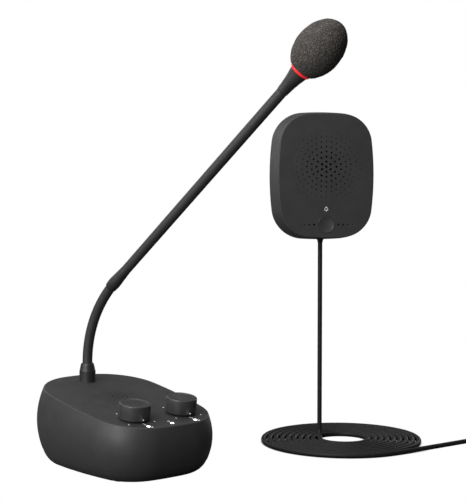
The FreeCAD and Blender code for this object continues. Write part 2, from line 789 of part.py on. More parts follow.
def neck_foot(shop):
    """Collar on the panel, threaded stub through it and the nut below."""
    s = shop.sizes
    panel = panel_level(s, s["neck_reach"])
    inner = s["neck_radius"] + 0.1
    outer = s["collar_radius"]
    low = panel - 4
    band = panel + s["collar_band"]
    top = collar_top(s)
    ring = shop.turned([(inner, low), (outer, low), (outer, band), (5, top - 0.4), (4.8, top), (inner, top)])
    ring.Placement = Placement(Vector(0, s["neck_reach"].value, 0), Rotation())
    reach = 20.0
    under = shop.box((0, 0, 0), (2 * reach, 2 * reach, reach))
    under.Placement = panel_frame(s, -reach, s["neck_reach"] - reach, -reach)
    shop.finish("neck_collar", shop.cut(ring, [under]))
    neck = s["neck_radius"]
    span = s["neck_length"].value / (s["link_count"].value + 1)
    joint = top + span / 2
    shoulder = joint - s["cup_rim"] - s["link_gap"]
    throat = s["throat_radius"]
    thread = 4.9
    seat = s["neck_seat_level"]
    thread_end = seat + 6
    rod = shop.turned([(0, seat - 7), (thread - 0.4, seat - 7), (thread, seat - 6.6), (thread, thread_end),
                       (neck, thread_end), (neck, shoulder), (throat, shoulder), (throat, joint), (0, joint)])
    stub = shop.join([rod, shop.ball(s["ball_radius"], (0, 0, joint))])
    place = Placement(Vector(0, s["neck_reach"].value, 0), Rotation())
    shop.finish("neck_stub", stub, place)
    nut_height = 4.3
    nut_foot = seat - 0.1 - nut_height
    hexagon = shop.bound("Part::Prism", "hexagon", (0, 0, nut_foot), Circumradius=8.1, Height=nut_height)
    nut = shop.cut(hexagon, [shop.cylinder(thread + 0.05, 12, (0, 0, nut_foot - 3))])
    shop.finish("neck_nut", nut, place)


def neck_links(shop, neck):
    """Ball-and-cup links of the flexible part."""
    s = shop.sizes
    rim = s["cup_rim"]
    shoulder = neck.span - rim - s["link_gap"]
    for number in range(1, neck.joints):
        barrel = shop.cylinder(s["neck_radius"], shoulder + rim, (0, 0, -rim))
        throat = shop.cylinder(s["throat_radius"], neck.span - shoulder, (0, 0, shoulder - 0.5))
        ball = shop.ball(s["ball_radius"], (0, 0, neck.span))
        solid = shop.join([barrel, throat, ball])
        cup = shop.ball(s["ball_radius"] + s["running_gap"])
        shop.finish("neck_link_%d" % number, shop.cut(solid, [cup]), neck.place(number))


def stem(shop, place):
    """Flared sleeve, straight tube, head cone, light ring, capsule and foam."""
    s = shop.sizes
    flare = s["sleeve_radius"]
    bore = 3.92
    rim = -s["cup_rim"]
    sleeve = shop.turned([(0, rim), (4.2, rim), (flare, 2.5), (flare, 4.5), (4.2, s["sleeve_length"] - 0.2),
                          (4.05, s["sleeve_length"]), (bore, s["sleeve_length"]), (bore, 6), (0, 6)])
    cup = shop.ball(s["ball_radius"] + s["running_gap"])
    shop.finish("stem_sleeve", shop.cut(sleeve, [cup]), place)
    end = s["stem_end"]
    tube = [(s["stem_bore"], 6.05), (3.9, 6.05), (s["stem_top_radius"], end), (s["stem_bore"], end)]
    shop.finish("mic_stem", shop.turned(tube), place)
    top = s["head_top"]
    snug = s["stem_top_radius"] + 0.03
    collar = s["stem_top_radius"] + 0.6
    capsule = s["capsule_radius"]
    head = [(snug, end - 2.5), (collar, end - 2.5), (collar, end + 0.7), (s["head_radius"], top),
            (capsule + 0.2, top), (capsule + 0.2, top - 8.4), (s["stem_bore"], top - 12),
            (s["stem_bore"], end + 0.05), (snug, end + 0.05)]
    shop.finish("mic_head", shop.turned(head), place)
    ring = s["ring_radius"]
    tall = s["ring_height"]
    band = [(capsule + 0.2, top), (ring - 0.4, top), (ring, top + 0.4), (ring, top + tall - 0.4),
            (ring - 0.4, top + tall), (capsule + 0.2, top + tall)]
    shop.finish("light_ring", shop.turned(band), place)
    capsule_end = top + 24
    can = [(0, top - 8.3), (capsule, top - 8.3), (capsule, capsule_end - 0.6), (capsule - 0.6, capsule_end),
           (0, capsule_end)]
    shop.finish("mic_capsule", shop.turned(can), place)
    base = top + tall
    middle = base + s["foam_middle"]
    lower = shop.bound("Part::Ellipsoid", "lower_egg", (0, 0, middle), Radius1=s["foam_lower"],
                       Radius2=s["foam_radius"], Radius3=s["foam_radius"], Angle1=-90.0, Angle2=0.0)
    upper = shop.bound("Part::Ellipsoid", "upper_egg", (0, 0, middle), Radius1=s["foam_upper"],
                       Radius2=s["foam_radius"], Radius3=s["foam_radius"], Angle1=0.0, Angle2=90.0)
    egg = shop.join([lower, upper])
    socket = shop.cylinder(capsule + 0.1, capsule_end - base + 0.6, (0, 0, base - 0.5))
    under = shop.cylinder(30, 20, (0, 0, base - 20))
    shop.finish("foam_windscreen", shop.cut(egg, [socket, under]), place)


def window_front_cover(shop):
    """Front shell of the window unit with grille, button and speech holes, bosses and gland hole."""
    s = shop.sizes
    wall = s["window_wall"]
    spread = s["window_spread"]
    shell_depth = s["window_shell_depth"]
    body = shop.loft([window_outline(shop, 0.0, 0.0), window_outline(shop, -spread * 0.62, shell_depth * 0.5),
                      window_outline(shop, -spread, shell_depth)])

    def on_face(edge):
        return max(abs(vertex.Point.y) for vertex in edge.Vertexes) < 0.01

    rounded = shop.rounded(body, s["window_edge_round"], on_face)
    hollow = shop.loft([window_outline(shop, wall, wall),
                        window_outline(shop, wall - spread * 0.62, shell_depth * 0.5),
                        window_outline(shop, wall - spread, shell_depth)])
    shell = shop.cut(rounded, [hollow], "window_shell")
    inward = (Vector(1, 0, 0), -90)
    bosses = []
    tools = []
    for x, z in corners_of(s["window_boss_offset"], s["window_boss_level"], s["window_boss_level"]):
        bosses.append(shop.cylinder(3.2, shell_depth - 1.7, (x, 1.5, z), inward))
        tools.append(shop.cylinder(s["pilot_radius"], 14, (x, shell_depth - 13, z), inward))
    board_edge = s["window_board_half_width"] - 2.5
    for side in (-1, 1):
        for level in (1.4 - s["window_board_low"], -s["window_board_top"] - 2.4):
            stand = (board_edge * side, 1.5, level)
            bosses.append(shop.cylinder(1.6, s["window_board_face"] - 1.5, stand, inward))
    filled = shop.join([shell] + bosses, "filled_window")
    rings = int(s["grille_rings"].value)
    holes = ring_holes(s["window_grille_pitch"].value, rings, s["window_hole_large"].value,
                       s["window_hole_small"].value, 6.0)
    grille = shop.shaped(holes, "window_grille")
    grille.Placement = Placement(Vector(0, 0, s["window_grille_level"].value), Rotation(Vector(1, 0, 0), 90))
    tools.append(grille)
    level = s["button_level"]
    tools.append(shop.cylinder(s["button_radius"] + s["button_play"], 8, (0, -2, level), inward))
    for side in (-1, 1):
        for step, radius in enumerate((0.9, 0.75, 0.6, 0.45)):
            x = (s["speech_hole_start"] + s["speech_hole_step"] * step) * side
            tools.append(shop.cylinder(radius, 8, (x, -2, level), inward))
    below = -s["window_half_height"] - 6
    tools.append(shop.cylinder(3.06, 12, (-s["gland_offset"], s["gland_depth"], below)))
    shop.finish("window_front_cover", shop.cut(filled, tools), window_frame(s))


def window_rear(shop):
    """Rear cover, its screws and the adhesive pad."""
    s = shop.sizes
    front = s["window_shell_depth"]
    back = s["window_back_depth"]
    spread = s["window_spread"]
    plate = shop.loft([window_outline(shop, 0.15 - spread, front), window_outline(shop, 1.0 - spread, back)])
    inward = (Vector(1, 0, 0), -90)
    tools = []
    screws = []
    outline = [(0, 1.2), (1.2, 1.2), (1.2, 0), (2.8, 0), (2.8, 1.6), (1.25, 1.6), (1.25, 12), (0, 13)]
    for x, z in corners_of(s["window_boss_offset"], s["window_boss_level"], s["window_boss_level"]):
        tools.append(shop.cylinder(1.6, 8, (x, front - 2, z), inward))
        tools.append(shop.cylinder(3.1, 4, (x, back - 1.8, z), inward))
        screw = shop.turned(outline)
        head = Vector(x.value, back.value - 0.15, z.value)
        screw.Placement = Placement(head, Rotation(Vector(1, 0, 0), 90))
        screws.append(screw)
    shop.finish("window_rear_cover", shop.cut(plate, tools), window_frame(s))
    shop.finish("window_case_screws", shop.group(screws), window_frame(s))
    half = s["pad_half_width"]
    tall = s["pad_half_height"]
    pad = shop.box((-half, back, -tall), (half, back + s["pad_thickness"], tall))
    shop.finish("mounting_pad", shop.group([pad]), window_frame(s))


def window_inside(shop):
    """Speaker, board, microphone, switch and call button of the window unit."""
    s = shop.sizes
    place = window_part(s, 0, s["window_wall"] + 0.2, s["window_grille_level"], -90.0)
    speaker(shop, "window", place)
    face = s["window_board_face"]
    half = s["window_board_half_width"]
    board = shop.box((-half, face, -s["window_board_low"]),
                     (half, face + s["board_thickness"], -s["window_board_top"]))
    shop.finish("window_board", shop.group([board]), window_frame(s))
    level = s["button_level"]
    microphone = shop.turned([(0, 0), (3, 0), (3, 5), (2.6, 5.4), (0, 5.4)])
    step = s["speech_hole_start"] + s["speech_hole_step"]
    shop.finish("window_microphone", microphone, window_part(s, step, face, level))
    plunger = 3.4
    switch = shop.join([shop.box((-3, -3, 0), (3, 3, 2.5)), shop.cylinder(1.7, plunger)])
    shop.finish("call_switch", switch, window_part(s, 0, face, level))
    stem_end = face - plunger - s["button_travel"] - s["button_play"]
    radius = s["button_radius"]
    cap = [(0, 0), (2, 0), (2, 3.7), (8.6, 3.7), (8.6, 4.9), (radius, 4.9), (radius, stem_end - 0.3),
           (radius - 0.3, stem_end), (0, stem_end)]
    dish = shop.ball(s["dish_radius"], (0, 0, s["dish_radius"] - s["dish_depth"] + stem_end))
    shop.finish("call_button", shop.cut(shop.turned(cap), [dish]), window_part(s, 0, stem_end, level))


def gland(shop, exit_point):
    """Bushing that holds the lead in the window unit's lower wall."""
    s = shop.sizes
    bore = s["cord_radius"] + 0.03
    neck = 3.0
    top = s["gland_length"]
    skirt = s["gland_skirt"]
    bush = [(bore, 0), (neck - 0.1, 0), (neck + 0.5, skirt - 0.7), (neck + 0.5, skirt), (neck, skirt),
            (neck, top - 1.2), (neck + 1.4, top - 1.2), (neck + 1.4, top), (bore, top)]
    shop.finish("cord_gland", shop.turned(bush), Placement(exit_point, window_frame(s).Rotation))


def tube(points, radius, stretches):
    """Return a tube along straight runs joined by tangent arcs, and collect its radii."""
    edges = []
    start = points[0]
    for before, corner, after in zip(points, points[1:], points[2:]):
        back = before - corner
        ahead = after - corner
        half = (math.pi - back.getAngle(ahead)) / 2
        bend = 0.45 * min(back.Length, ahead.Length) / math.tan(half)
        setback = bend * math.tan(half)
        back.normalize()
        ahead.normalize()
        first = corner + back * setback
        last = corner + ahead * setback
        toward = back + ahead
        toward.normalize()
        middle = corner + toward * (bend / math.cos(half) - bend)
        edges.append(Part.LineSegment(start, first).toShape())
        edges.append(Part.Arc(first, middle, last).toShape())
        stretches.append(bend)
        start = last
    edges.append(Part.LineSegment(start, points[-1]).toShape())
    path = Part.Wire(edges)
    direction = points[1] - points[0]
    section = Part.Wire(Part.makeCircle(radius, points[0], direction))
    solid = path.makePipeShell([section], True, False)
    length = path.Length
    print("tube length %.1f, volume ratio %.4f" % (length, solid.Volume / (math.pi * radius ** 2 * length)))
    return solid


class Lead:
    """Route of the lead: hanging stretch, landing, flat coil and tail."""

    def __init__(self, s, exit_point):
        self.radius = s["cord_radius"].value
        self.pitch = s["coil_pitch"].value
        self.run = s["bend_run"].value
        angle = math.radians(s["coil_heading"].value)
        self.heading = Vector(math.cos(angle), math.sin(angle), 0)
        self.floor_point = Vector(exit_point.x, exit_point.y, self.radius)
        self.top = exit_point + Vector(0, 0, s["gland_length"].value + 0.6)
        self.landing = self.floor_point + self.heading * self.landing_length()
        start_radius = s["coil_start_radius"].value
        turns = s["coil_turns"].value
        self.centre = self.landing + UP.cross(self.heading) * start_radius
        self.end_radius = start_radius + self.pitch * turns
        end_angle = angle - math.pi / 2 + math.tau * turns
        spoke = Vector(math.cos(end_angle), math.sin(end_angle), 0)
        self.leave = UP.cross(spoke)
        self.coil_end = self.centre + spoke * self.end_radius
        self.lift = s["boot_radius"].value - self.radius

    def landing_length(self):
        """Return how far the foot of the hanging stretch runs along the counter."""
        return self.run / math.sqrt(2) + self.run

    def drop_points(self):
        """Return the corners from inside the gland down to the start of the coil."""
        diagonal = self.run / math.sqrt(2)
        foot = self.floor_point
        return [self.top, foot + UP * diagonal, foot + self.heading * diagonal, self.landing]

    def tail_points(self):
        """Return the corners from the coil's end to the plug."""
        points = [self.coil_end]
        runs = ((0.0, 42, 0), (1.2, 44, 0), (-1.6, 32, 0), (4.0, 24, self.lift), (9.0, 16, 0))
        for turn, length, rise in runs:
            step = Rotation(UP, turn).multVec(self.leave) * length + UP * rise
            points.append(points[-1] + step)
        return points


def slot_box(shop, corner, along, low, high):
    """Return a box placed from a point on the counter, with its X axis along a direction."""
    box = shop.box((0, 0, 0), tuple(high[i] - low[i] for i in range(3)))
    turn = Rotation(Vector(1, 0, 0), along)
    box.Placement = Placement(Vector(corner.x, corner.y, 0), turn) * Placement(Vector(*low), Rotation())
    return box


def cord(shop, exit_point):
    """The lead: hanging stretch, flat coil and tail, with the plug on its end."""
    lead = Lead(shop.sizes, exit_point)
    bends = []
    drop = tube(lead.drop_points(), lead.radius, bends)
    tail_points = lead.tail_points()
    tail = tube(tail_points, lead.radius, bends)
    print("bend radii", [round(bend, 1) for bend in bends])
    flat = Vector(lead.centre.x, lead.centre.y, 0)
    disc = shop.cylinder(lead.end_radius - lead.pitch / 2 + lead.radius, 2 * lead.radius, flat)
    hole = shop.cylinder(shop.sizes["coil_hole_radius"], 2 * lead.radius, flat)
    side = lead.radius + 0.3
    drop_room = slot_box(shop, lead.floor_point, lead.heading, (-side, -side, -1),
                         (lead.landing_length(), side, 8))
    tail_room = slot_box(shop, lead.coil_end, lead.leave, (0, -9, -1), (60, lead.radius, 8))
    shop.finish("cord_coil", shop.cut(disc, [hole, drop_room, tail_room]))
    shop.finish("cord_drop", shop.shaped(drop, "drop"))
    shop.finish("cord_tail", shop.shaped(tail, "tail"))
    plug(shop, tail_points[-1], tail_points[-1] - tail_points[-2])
    print("coil centre (%.2f, %.2f)" % (lead.centre.x, lead.centre.y))
    print("tail", [tuple(round(value, 2) for value in point) for point in tail_points])


def plug(shop, point, leave):
    """Moulded boot and 3.5 mm contact on the end of the lead."""
    s = shop.sizes
    place = Placement(point, Rotation(Vector(0, 0, 1), leave))
    boot = s["boot_radius"]
    length = s["boot_length"]
    collar = length + 1.6
    body = [(0, 0), (2.3, 0), (boot - 0.3, 5), (boot, 7), (boot, length - 0.4), (boot - 0.4, length),
            (0, length)]
    shop.finish("plug_boot", shop.turned(body), place)
    pin = s["contact_radius"]
    end = s["contact_length"] + collar
    metal = [(0, length), (2.6, length), (2.6, collar), (pin, collar), (pin, end - 3.4), (1.3, end - 2.8),
             (pin, end - 2), (0.5, end), (0, end)]
    shop.finish("plug_contact", shop.turned(metal), place)


def check_and_write(doc, finished):
    """Stop on a failed object or an invalid shape, then write each node's file."""
    failed = [item.Name for item in doc.Objects if {"Invalid", "Error"} & set(item.State)]
    for piece in finished:
        if piece.Shape.isNull() or not piece.Shape.isValid():
            failed.append(piece.Label)
    if failed:
        raise RuntimeError("failed objects: %s" % ", ".join(failed))
    os.makedirs("parts", exist_ok=True)
    for piece in finished:
        piece.Shape.exportStep(os.path.join("parts", piece.Label + ".step"))


def main():
    """Build every sub-part in the document and write it."""
    doc = FreeCAD.newDocument("teller_window_intercom")
    shop = Workshop(doc, make_sheet(doc))
    s = shop.sizes
    desk_top_cover(shop)
    desk_bottom_cover(shop)
    base_fasteners(shop)
    base_inside(shop)
    knobs(shop)
    indicators(shop)
    behind_panel = panel_frame(s, 0, -s["desk_grille_reach"], -s["base_wall"] - 0.2)
    downwards = Placement(Vector(0, 0, 0), Rotation(Vector(1, 0, 0), 180))
    speaker(shop, "desk", behind_panel * downwards)
    rear_sockets(shop)
    neck_foot(shop)
    neck = Neck(s)
    neck_links(shop, neck)
    stem(shop, neck.place(neck.joints))
    window_front_cover(shop)
    window_rear(shop)
    window_inside(shop)
    lower_wall = -s["window_half_height"].value - s["gland_below"].value
    exit_point = window_frame(s).multVec(Vector(-s["gland_offset"].value, s["gland_depth"].value, lower_wall))
    gland(shop, exit_point)
    cord(shop, exit_point)
    doc.recompute()
    check_and_write(doc, shop.finished)
    for number in range(1, neck.joints + 1):
        point = neck.joint(number)
        print("joint %d (%.3f, %.3f, %.3f)" % (number, point.x, point.y, point.z))
    print("%d nodes" % len(shop.finished))


main()
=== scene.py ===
import json
import logging
import math
from collections.abc import Callable, Iterable
from dataclasses import dataclass, field
from enum import Enum

import bmesh
import bpy
from mathutils import Matrix, Vector


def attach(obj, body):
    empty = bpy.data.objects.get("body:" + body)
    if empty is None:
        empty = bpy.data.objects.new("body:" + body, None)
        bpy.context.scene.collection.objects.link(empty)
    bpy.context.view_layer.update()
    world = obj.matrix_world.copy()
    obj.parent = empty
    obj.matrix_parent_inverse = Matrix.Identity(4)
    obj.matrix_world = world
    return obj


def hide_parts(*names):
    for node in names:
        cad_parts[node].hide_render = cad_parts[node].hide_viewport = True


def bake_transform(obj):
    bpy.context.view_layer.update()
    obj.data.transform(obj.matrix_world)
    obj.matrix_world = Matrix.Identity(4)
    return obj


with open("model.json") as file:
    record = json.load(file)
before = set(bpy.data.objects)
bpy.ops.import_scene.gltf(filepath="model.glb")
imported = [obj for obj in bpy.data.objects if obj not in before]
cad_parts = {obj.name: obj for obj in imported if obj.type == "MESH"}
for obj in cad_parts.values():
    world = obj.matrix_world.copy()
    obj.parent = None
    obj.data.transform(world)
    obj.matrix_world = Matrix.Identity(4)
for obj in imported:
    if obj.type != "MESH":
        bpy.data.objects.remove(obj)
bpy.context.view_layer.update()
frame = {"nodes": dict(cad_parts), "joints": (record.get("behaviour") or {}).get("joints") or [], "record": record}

MM = 0.001
UP = Vector((0, 0, 1))
LARGE_ROUND, ROUND, SMALL_ROUND, TINY_ROUND = 96, 72, 48, 24
Outline = list[tuple[float, float]]
Socket = bpy.types.NodeSocket
log = logging.getLogger("intercom")


# ---------------------------------------------------------------- places read from the frame


def joint_of(name: str) -> dict:
    """Return a joint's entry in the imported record."""
    return next(joint for joint in frame["joints"] if joint["name"] == name)


def joint_point(name: str) -> Vector:
    """Return the point that a joint turns about."""
    return Vector(joint_of(name)["pos_m"])


def mount_of(name: str) -> dict:
    """Return a mount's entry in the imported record."""
    return next(mount for mount in frame["record"]["mounts"] if mount["name"] == name)


def place_from_axes(origin: Vector, x: Vector, y: Vector, z: Vector) -> Matrix:
    """Return the place at origin whose own axes are x, y and z."""
    return Matrix.Translation(origin) @ Matrix((x, y, z)).transposed().to_4x4()


@dataclass(frozen=True)
class PanelPlace:
    """The sloping control panel of the desk unit, found from the knob's joint. Millimetres."""

    knob_offset: float = 21.75
    knob_reach: float = 51.4
    joint_lift: float = 6.0
    lens_reach: float = 70.4

    def normal(self) -> Vector:
        """Return the direction that the panel faces."""
        return Vector(joint_of("left_volume_turn")["axis"]).normalized()

    def at(self, x: float, y: float, lift: float = 0.0) -> Matrix:
        """Return a place on the panel.

        Args:
            x: Distance to the right of the middle line.
            y: Distance along the panel towards the back.
            lift: Height above its surface.

        Returns:
            The place, with its Z axis square to the panel.
        """
        normal = self.normal()
        across = Vector((1, 0, 0))
        back = normal.cross(across)
        knob = joint_point("left_volume_turn") - normal * self.joint_lift * MM
        middle = knob + across * self.knob_offset * MM + back * self.knob_reach * MM
        return place_from_axes(middle + (across * x + back * y + normal * lift) * MM, across, back, normal)


@dataclass(frozen=True)
class WindowPlace:
    """The window unit, found from its adhesive face. Millimetres."""

    pad_depth: float = 35.0

    def at(self, x: float, depth: float, z: float, facing_out: bool = True) -> Matrix:
        """Return a place in the window unit.

        Args:
            x: Distance to the right of its middle, seen from its front.
            depth: Distance behind its front face.
            z: Height above its middle.
            facing_out: True where the piece's Z axis points out of the front, False for the back.

        Returns:
            The place of a piece that is turned about its own Z axis.
        """
        mount = mount_of("glass_pad_face")
        inward = Vector(mount["axis"]).normalized()
        across = inward.cross(UP)
        middle = Vector(mount["pos_m"]) - inward * self.pad_depth * MM
        origin = middle + (across * x + inward * depth + UP * z) * MM
        if facing_out:
            return place_from_axes(origin, across, UP, -inward)
        return place_from_axes(origin, -across, UP, inward)


class NeckPlace:
    """The gooseneck's arc and the stem's line, found from the neck's joints."""

    def __init__(self) -> None:
        """Read the joint points in order from the foot."""
        names = [f"neck_{kind}_{pair}" for pair in (1, 2, 3, 4) for kind in ("bend", "sway")]
        self.points = [joint_point(name) for name in names]
        self.axis = Vector(joint_of("neck_bend_1")["axis"]).normalized()
        self.span = (self.points[1] - self.points[0]).length
        self.step = UP.angle(self.points[1] - self.points[0])

    def direction(self, number: float) -> Vector:
        """Return the neck's direction after a number of joints."""
        return Matrix.Rotation(self.step * number, 3, self.axis) @ UP

    def foot(self) -> Vector:
        """Return the point where the neck leaves its collar."""
        return self.points[0] - UP * self.span / 2

    def centre(self) -> Vector:
        """Return the centre of the neck's arc."""
        radius = self.span / 2 / math.tan(self.step / 2)
        return self.foot() + self.axis.cross(UP) * radius

    def middle(self, number: int) -> Vector:
        """Return the point halfway along a link, counted from the foot."""
        turn = Matrix.Rotation(self.step * number, 3, self.axis)
        return self.centre() + turn @ (self.foot() - self.centre())

    def stem(self, level: float = 0.0) -> Matrix:
        """Find a place on the stem.

        Args:
            level: Distance along it from the last joint, in millimetres.

        Returns:
            The place, with its Z axis along the stem.
        """
        along = self.direction(len(self.points))
        origin = self.points[-1] + along * level * MM
        return place_from_axes(origin, self.axis, along.cross(self.axis), along)


PANEL = PanelPlace()
WINDOW = WindowPlace()
NECK = NeckPlace()


# ---------------------------------------------------------------- work at the bench


def clear_selection() -> None:
    """Leave edit mode and nothing selected."""
    if bpy.context.mode != "OBJECT":
        bpy.ops.object.mode_set(mode="OBJECT")
    bpy.ops.object.select_all(action="DESELECT")


def take(piece: bpy.types.Object) -> None:
    """Make a piece the only one selected and the active one.

    Args:
        piece: The piece.
    """
    clear_selection()
    piece.select_set(True)
    bpy.context.view_layer.objects.active = piece


class Editing:
    """Holds a piece in edit mode for the length of a with block."""

    def __init__(self, piece: bpy.types.Object) -> None:
        """Remember the piece."""
        self.piece = piece

    def __enter__(self) -> "Editing":
        """Open the piece with all of it selected.

        Returns:
            The open bench.
        """
        take(self.piece)
        bpy.ops.object.mode_set(mode="EDIT")
        bpy.ops.mesh.select_all(action="SELECT")
        return self

    def __exit__(self, *_: object) -> None:
        """Close the piece."""
        bpy.ops.object.mode_set(mode="OBJECT")

    def pick(self, kind: str, test: Callable) -> None:
        """Select by a test.

        Args:
            kind: VERT or EDGE.
            test: Says of a bmesh element whether it is wanted.
        """
        bpy.ops.mesh.select_mode(type=kind)
        bpy.ops.mesh.select_all(action="DESELECT")
        mesh = bmesh.from_edit_mesh(self.piece.data)
        for element in mesh.verts if kind == "VERT" else mesh.edges:
            if test(element):
                element.select_set(True)
        mesh.select_flush_mode()
        bmesh.update_edit_mesh(self.piece.data)

    def outward(self) -> None:
        """Merge doubles and point every face outwards."""
        bpy.ops.mesh.select_all(action="SELECT")
        bpy.ops.mesh.remove_doubles(threshold=0.002 * MM)
        bpy.ops.mesh.normals_make_consistent(inside=False)


def named(name: str) -> bpy.types.Object:
    """Name the piece that was just added, and its mesh.

    Args:
        name: The name of both.

    Returns:
        The piece.
    """
    piece = bpy.context.active_object
    piece.name = name
    piece.data.name = name
    return piece


def apply_modifier(piece: bpy.types.Object, kind: str, **settings: object) -> None:
    """Add a modifier, set it up and apply it.

    Args:
        piece: The piece that it changes.
        kind: Blender's name for the kind of modifier.
        settings: Its properties by name.
    """
    take(piece)
    modifier = piece.modifiers.new(kind.lower(), kind)
    for name, value in settings.items():
        setattr(modifier, name, value)
    bpy.ops.object.modifier_apply(modifier=modifier.name)


def smooth(piece: bpy.types.Object, angle: float = 32.0) -> None:
    """Shade smooth, apart from edges that turn by more than an angle in degrees."""
    take(piece)
    bpy.ops.object.shade_smooth_by_angle(angle=math.radians(angle))


def settle(piece: bpy.types.Object, place: Matrix) -> bpy.types.Object:
    """Move a piece's mesh to its place, and leave its object at the origin.

    Args:
        piece: The piece.
        place: Where its own origin goes.

    Returns:
        The piece.
    """
    piece.data.transform(place @ piece.matrix_basis)
    piece.matrix_basis = Matrix.Identity(4)
    piece.data.update()
    return piece


def copied(piece: bpy.types.Object, name: str, place: Matrix) -> bpy.types.Object:
    """Copy a piece with its mesh.

    Args:
        piece: The piece that is copied.
        name: The copy's name.
        place: Where the copy's own origin goes.

    Returns:
        The copy.
    """
    twin = piece.copy()
    twin.data = piece.data.copy()
    twin.name = name
    twin.data.name = name
    bpy.context.scene.collection.objects.link(twin)
    return settle(twin, place)


def turned(name: str, outline: Outline, steps: int, smooth_angle: float = 32.0) -> bpy.types.Object:
    """Turn a piece about Z: a filled circle, extruded and resized from ring to ring.

    Args:
        name: The piece's name.
        outline: (radius, level) of each ring in millimetres; the first and last ring are closed.
        steps: Faces round the piece.
        smooth_angle: Edges that turn less are shaded smooth, in degrees.

    Returns:
        The piece, standing at the origin.
    """
    clear_selection()
    radius, level = outline[0]
    bpy.ops.mesh.primitive_circle_add(vertices=steps, radius=radius * MM, fill_type="NGON")
    piece = named(name)
    with Editing(piece) as bench:
        bpy.ops.transform.translate(value=(0, 0, level * MM))
        for wider, higher in outline[1:]:
            rise = (0, 0, (higher - level) * MM)
            bpy.ops.mesh.extrude_region_move(TRANSFORM_OT_translate={"value": rise})
            ratio = wider / radius
            bpy.ops.transform.resize(value=(ratio, ratio, 1), center_override=(0, 0, higher * MM))
            radius, level = wider, higher
        bench.outward()
    smooth(piece, smooth_angle)
    return piece


def slab(name: str, width: float, height: float, thickness: float, corner: float) -> bpy.types.Object:
    """Make a flat slab with rounded corners, its front face at Z = thickness.

    Args:
        name: The piece's name.
        width: Its size along X in millimetres.
        height: Its size along Y.
        thickness: Its size along Z.
        corner: Radius of its four corners.

    Returns:
        The piece, standing at the origin.
    """
    clear_selection()
    bpy.ops.mesh.primitive_cube_add(size=MM)
    piece = named(name)
    with Editing(piece) as bench:
        bpy.ops.transform.resize(value=(width, height, thickness))
        bpy.ops.transform.translate(value=(0, 0, thickness / 2 * MM))
        bench.pick("EDGE", lambda edge: abs(edge.verts[0].co.z - edge.verts[1].co.z) > thickness / 2 * MM)
        bpy.ops.mesh.bevel(offset=corner * MM, segments=6)
        bench.outward()
    return piece


def arc(centre: tuple[float, float], radius: float, start: float, end: float, steps: int) -> Outline:
    """Return points on an arc.

    Args:
        centre: (radius, level) of its centre.
        radius: Its radius.
        start: Angle of its first point in degrees.
        end: Angle of its last point.
        steps: Stretches between points.

    Returns:
        The points.
    """
    x, y = centre
    angles = [math.radians(start + (end - start) * step / steps) for step in range(steps + 1)]
    return [(x + radius * math.cos(angle), y + radius * math.sin(angle)) for angle in angles]


# ---------------------------------------------------------------- finishes


class Tree:
    """Adds nodes to a node tree and joins them by socket name."""

    def __init__(self, tree: bpy.types.NodeTree) -> None:
        """Remember the tree."""
        self.tree = tree

    def add(self, kind: str, inputs: dict | None = None, **settings: object) -> bpy.types.Node:
        """Add a node.

        Args:
            kind: Blender's name for the kind of node.
            inputs: Values, or sockets to link from, by the name or number of the input.
            settings: The node's own properties.

        Returns:
            The node.
        """
        node = self.tree.nodes.new(kind)
        for name, value in settings.items():
            setattr(node, name, value)
        for name, value in (inputs or {}).items():
            if isinstance(value, Socket):
                self.tree.links.new(value, node.inputs[name])
            else:
                node.inputs[name].default_value = value
        return node

    def maths(self, operation: str, first: object, second: object = 0.0) -> Socket:
        """Add a maths node and return its result."""
        return self.add("ShaderNodeMath", {0: first, 1: second}, operation=operation).outputs[0]

    def vectors(self, operation: str, first: object, second: object, result: str = "Vector") -> Socket:
        """Add a vector maths node and return its Vector or its Value."""
        return self.add("ShaderNodeVectorMath", {0: first, 1: second}, operation=operation).outputs[result]

    def noise(self, vector: object, scale: object, detail: float, roughness: float = 0.5) -> Socket:
        """Add a noise texture and return its value."""
        inputs = {"Vector": vector, "Scale": scale, "Detail": detail, "Roughness": roughness}
        return self.add("ShaderNodeTexNoise", inputs).outputs["Fac"]

    def cells(self, vector: object, scale: object, feature: str) -> Socket:
        """Add a cell texture and return the distance that it gives."""
        inputs = {"Vector": vector, "Scale": scale}
        return self.add("ShaderNodeTexVoronoi", inputs, feature=feature).outputs["Distance"]

    def span(self, value: object, low: float, high: float, start: float = 0.0, end: float = 1.0) -> Socket:
        """Map low..high to start..end, held at both ends, and return the result."""
        inputs = {"Value": value, "From Min": low, "From Max": high, "To Min": start, "To Max": end}
        return self.add("ShaderNodeMapRange", inputs, clamp=True).outputs["Result"]

    def mix(self, factor: object, first: object, second: object) -> Socket:
        """Mix two colours and return the result."""
        inputs = {0: factor, 6: first, 7: second}
        return self.add("ShaderNodeMix", inputs, data_type="RGBA").outputs[2]


def fresh_tree(holder: bpy.types.Material | bpy.types.World) -> Tree:
    """Turn on the nodes of a material or world.

    Args:
        holder: The material or world.

    Returns:
        Its nodes, with none in it.
    """
    holder.use_nodes = True
    holder.node_tree.nodes.clear()
    return Tree(holder.node_tree)


class Effect(Enum):
    """A shader node group that several finishes share."""

    GRAIN = "moulded grain"
    # masks edges for a painted highlight
    EDGE = "painted edge highlight"
    DUST = "settled dust"


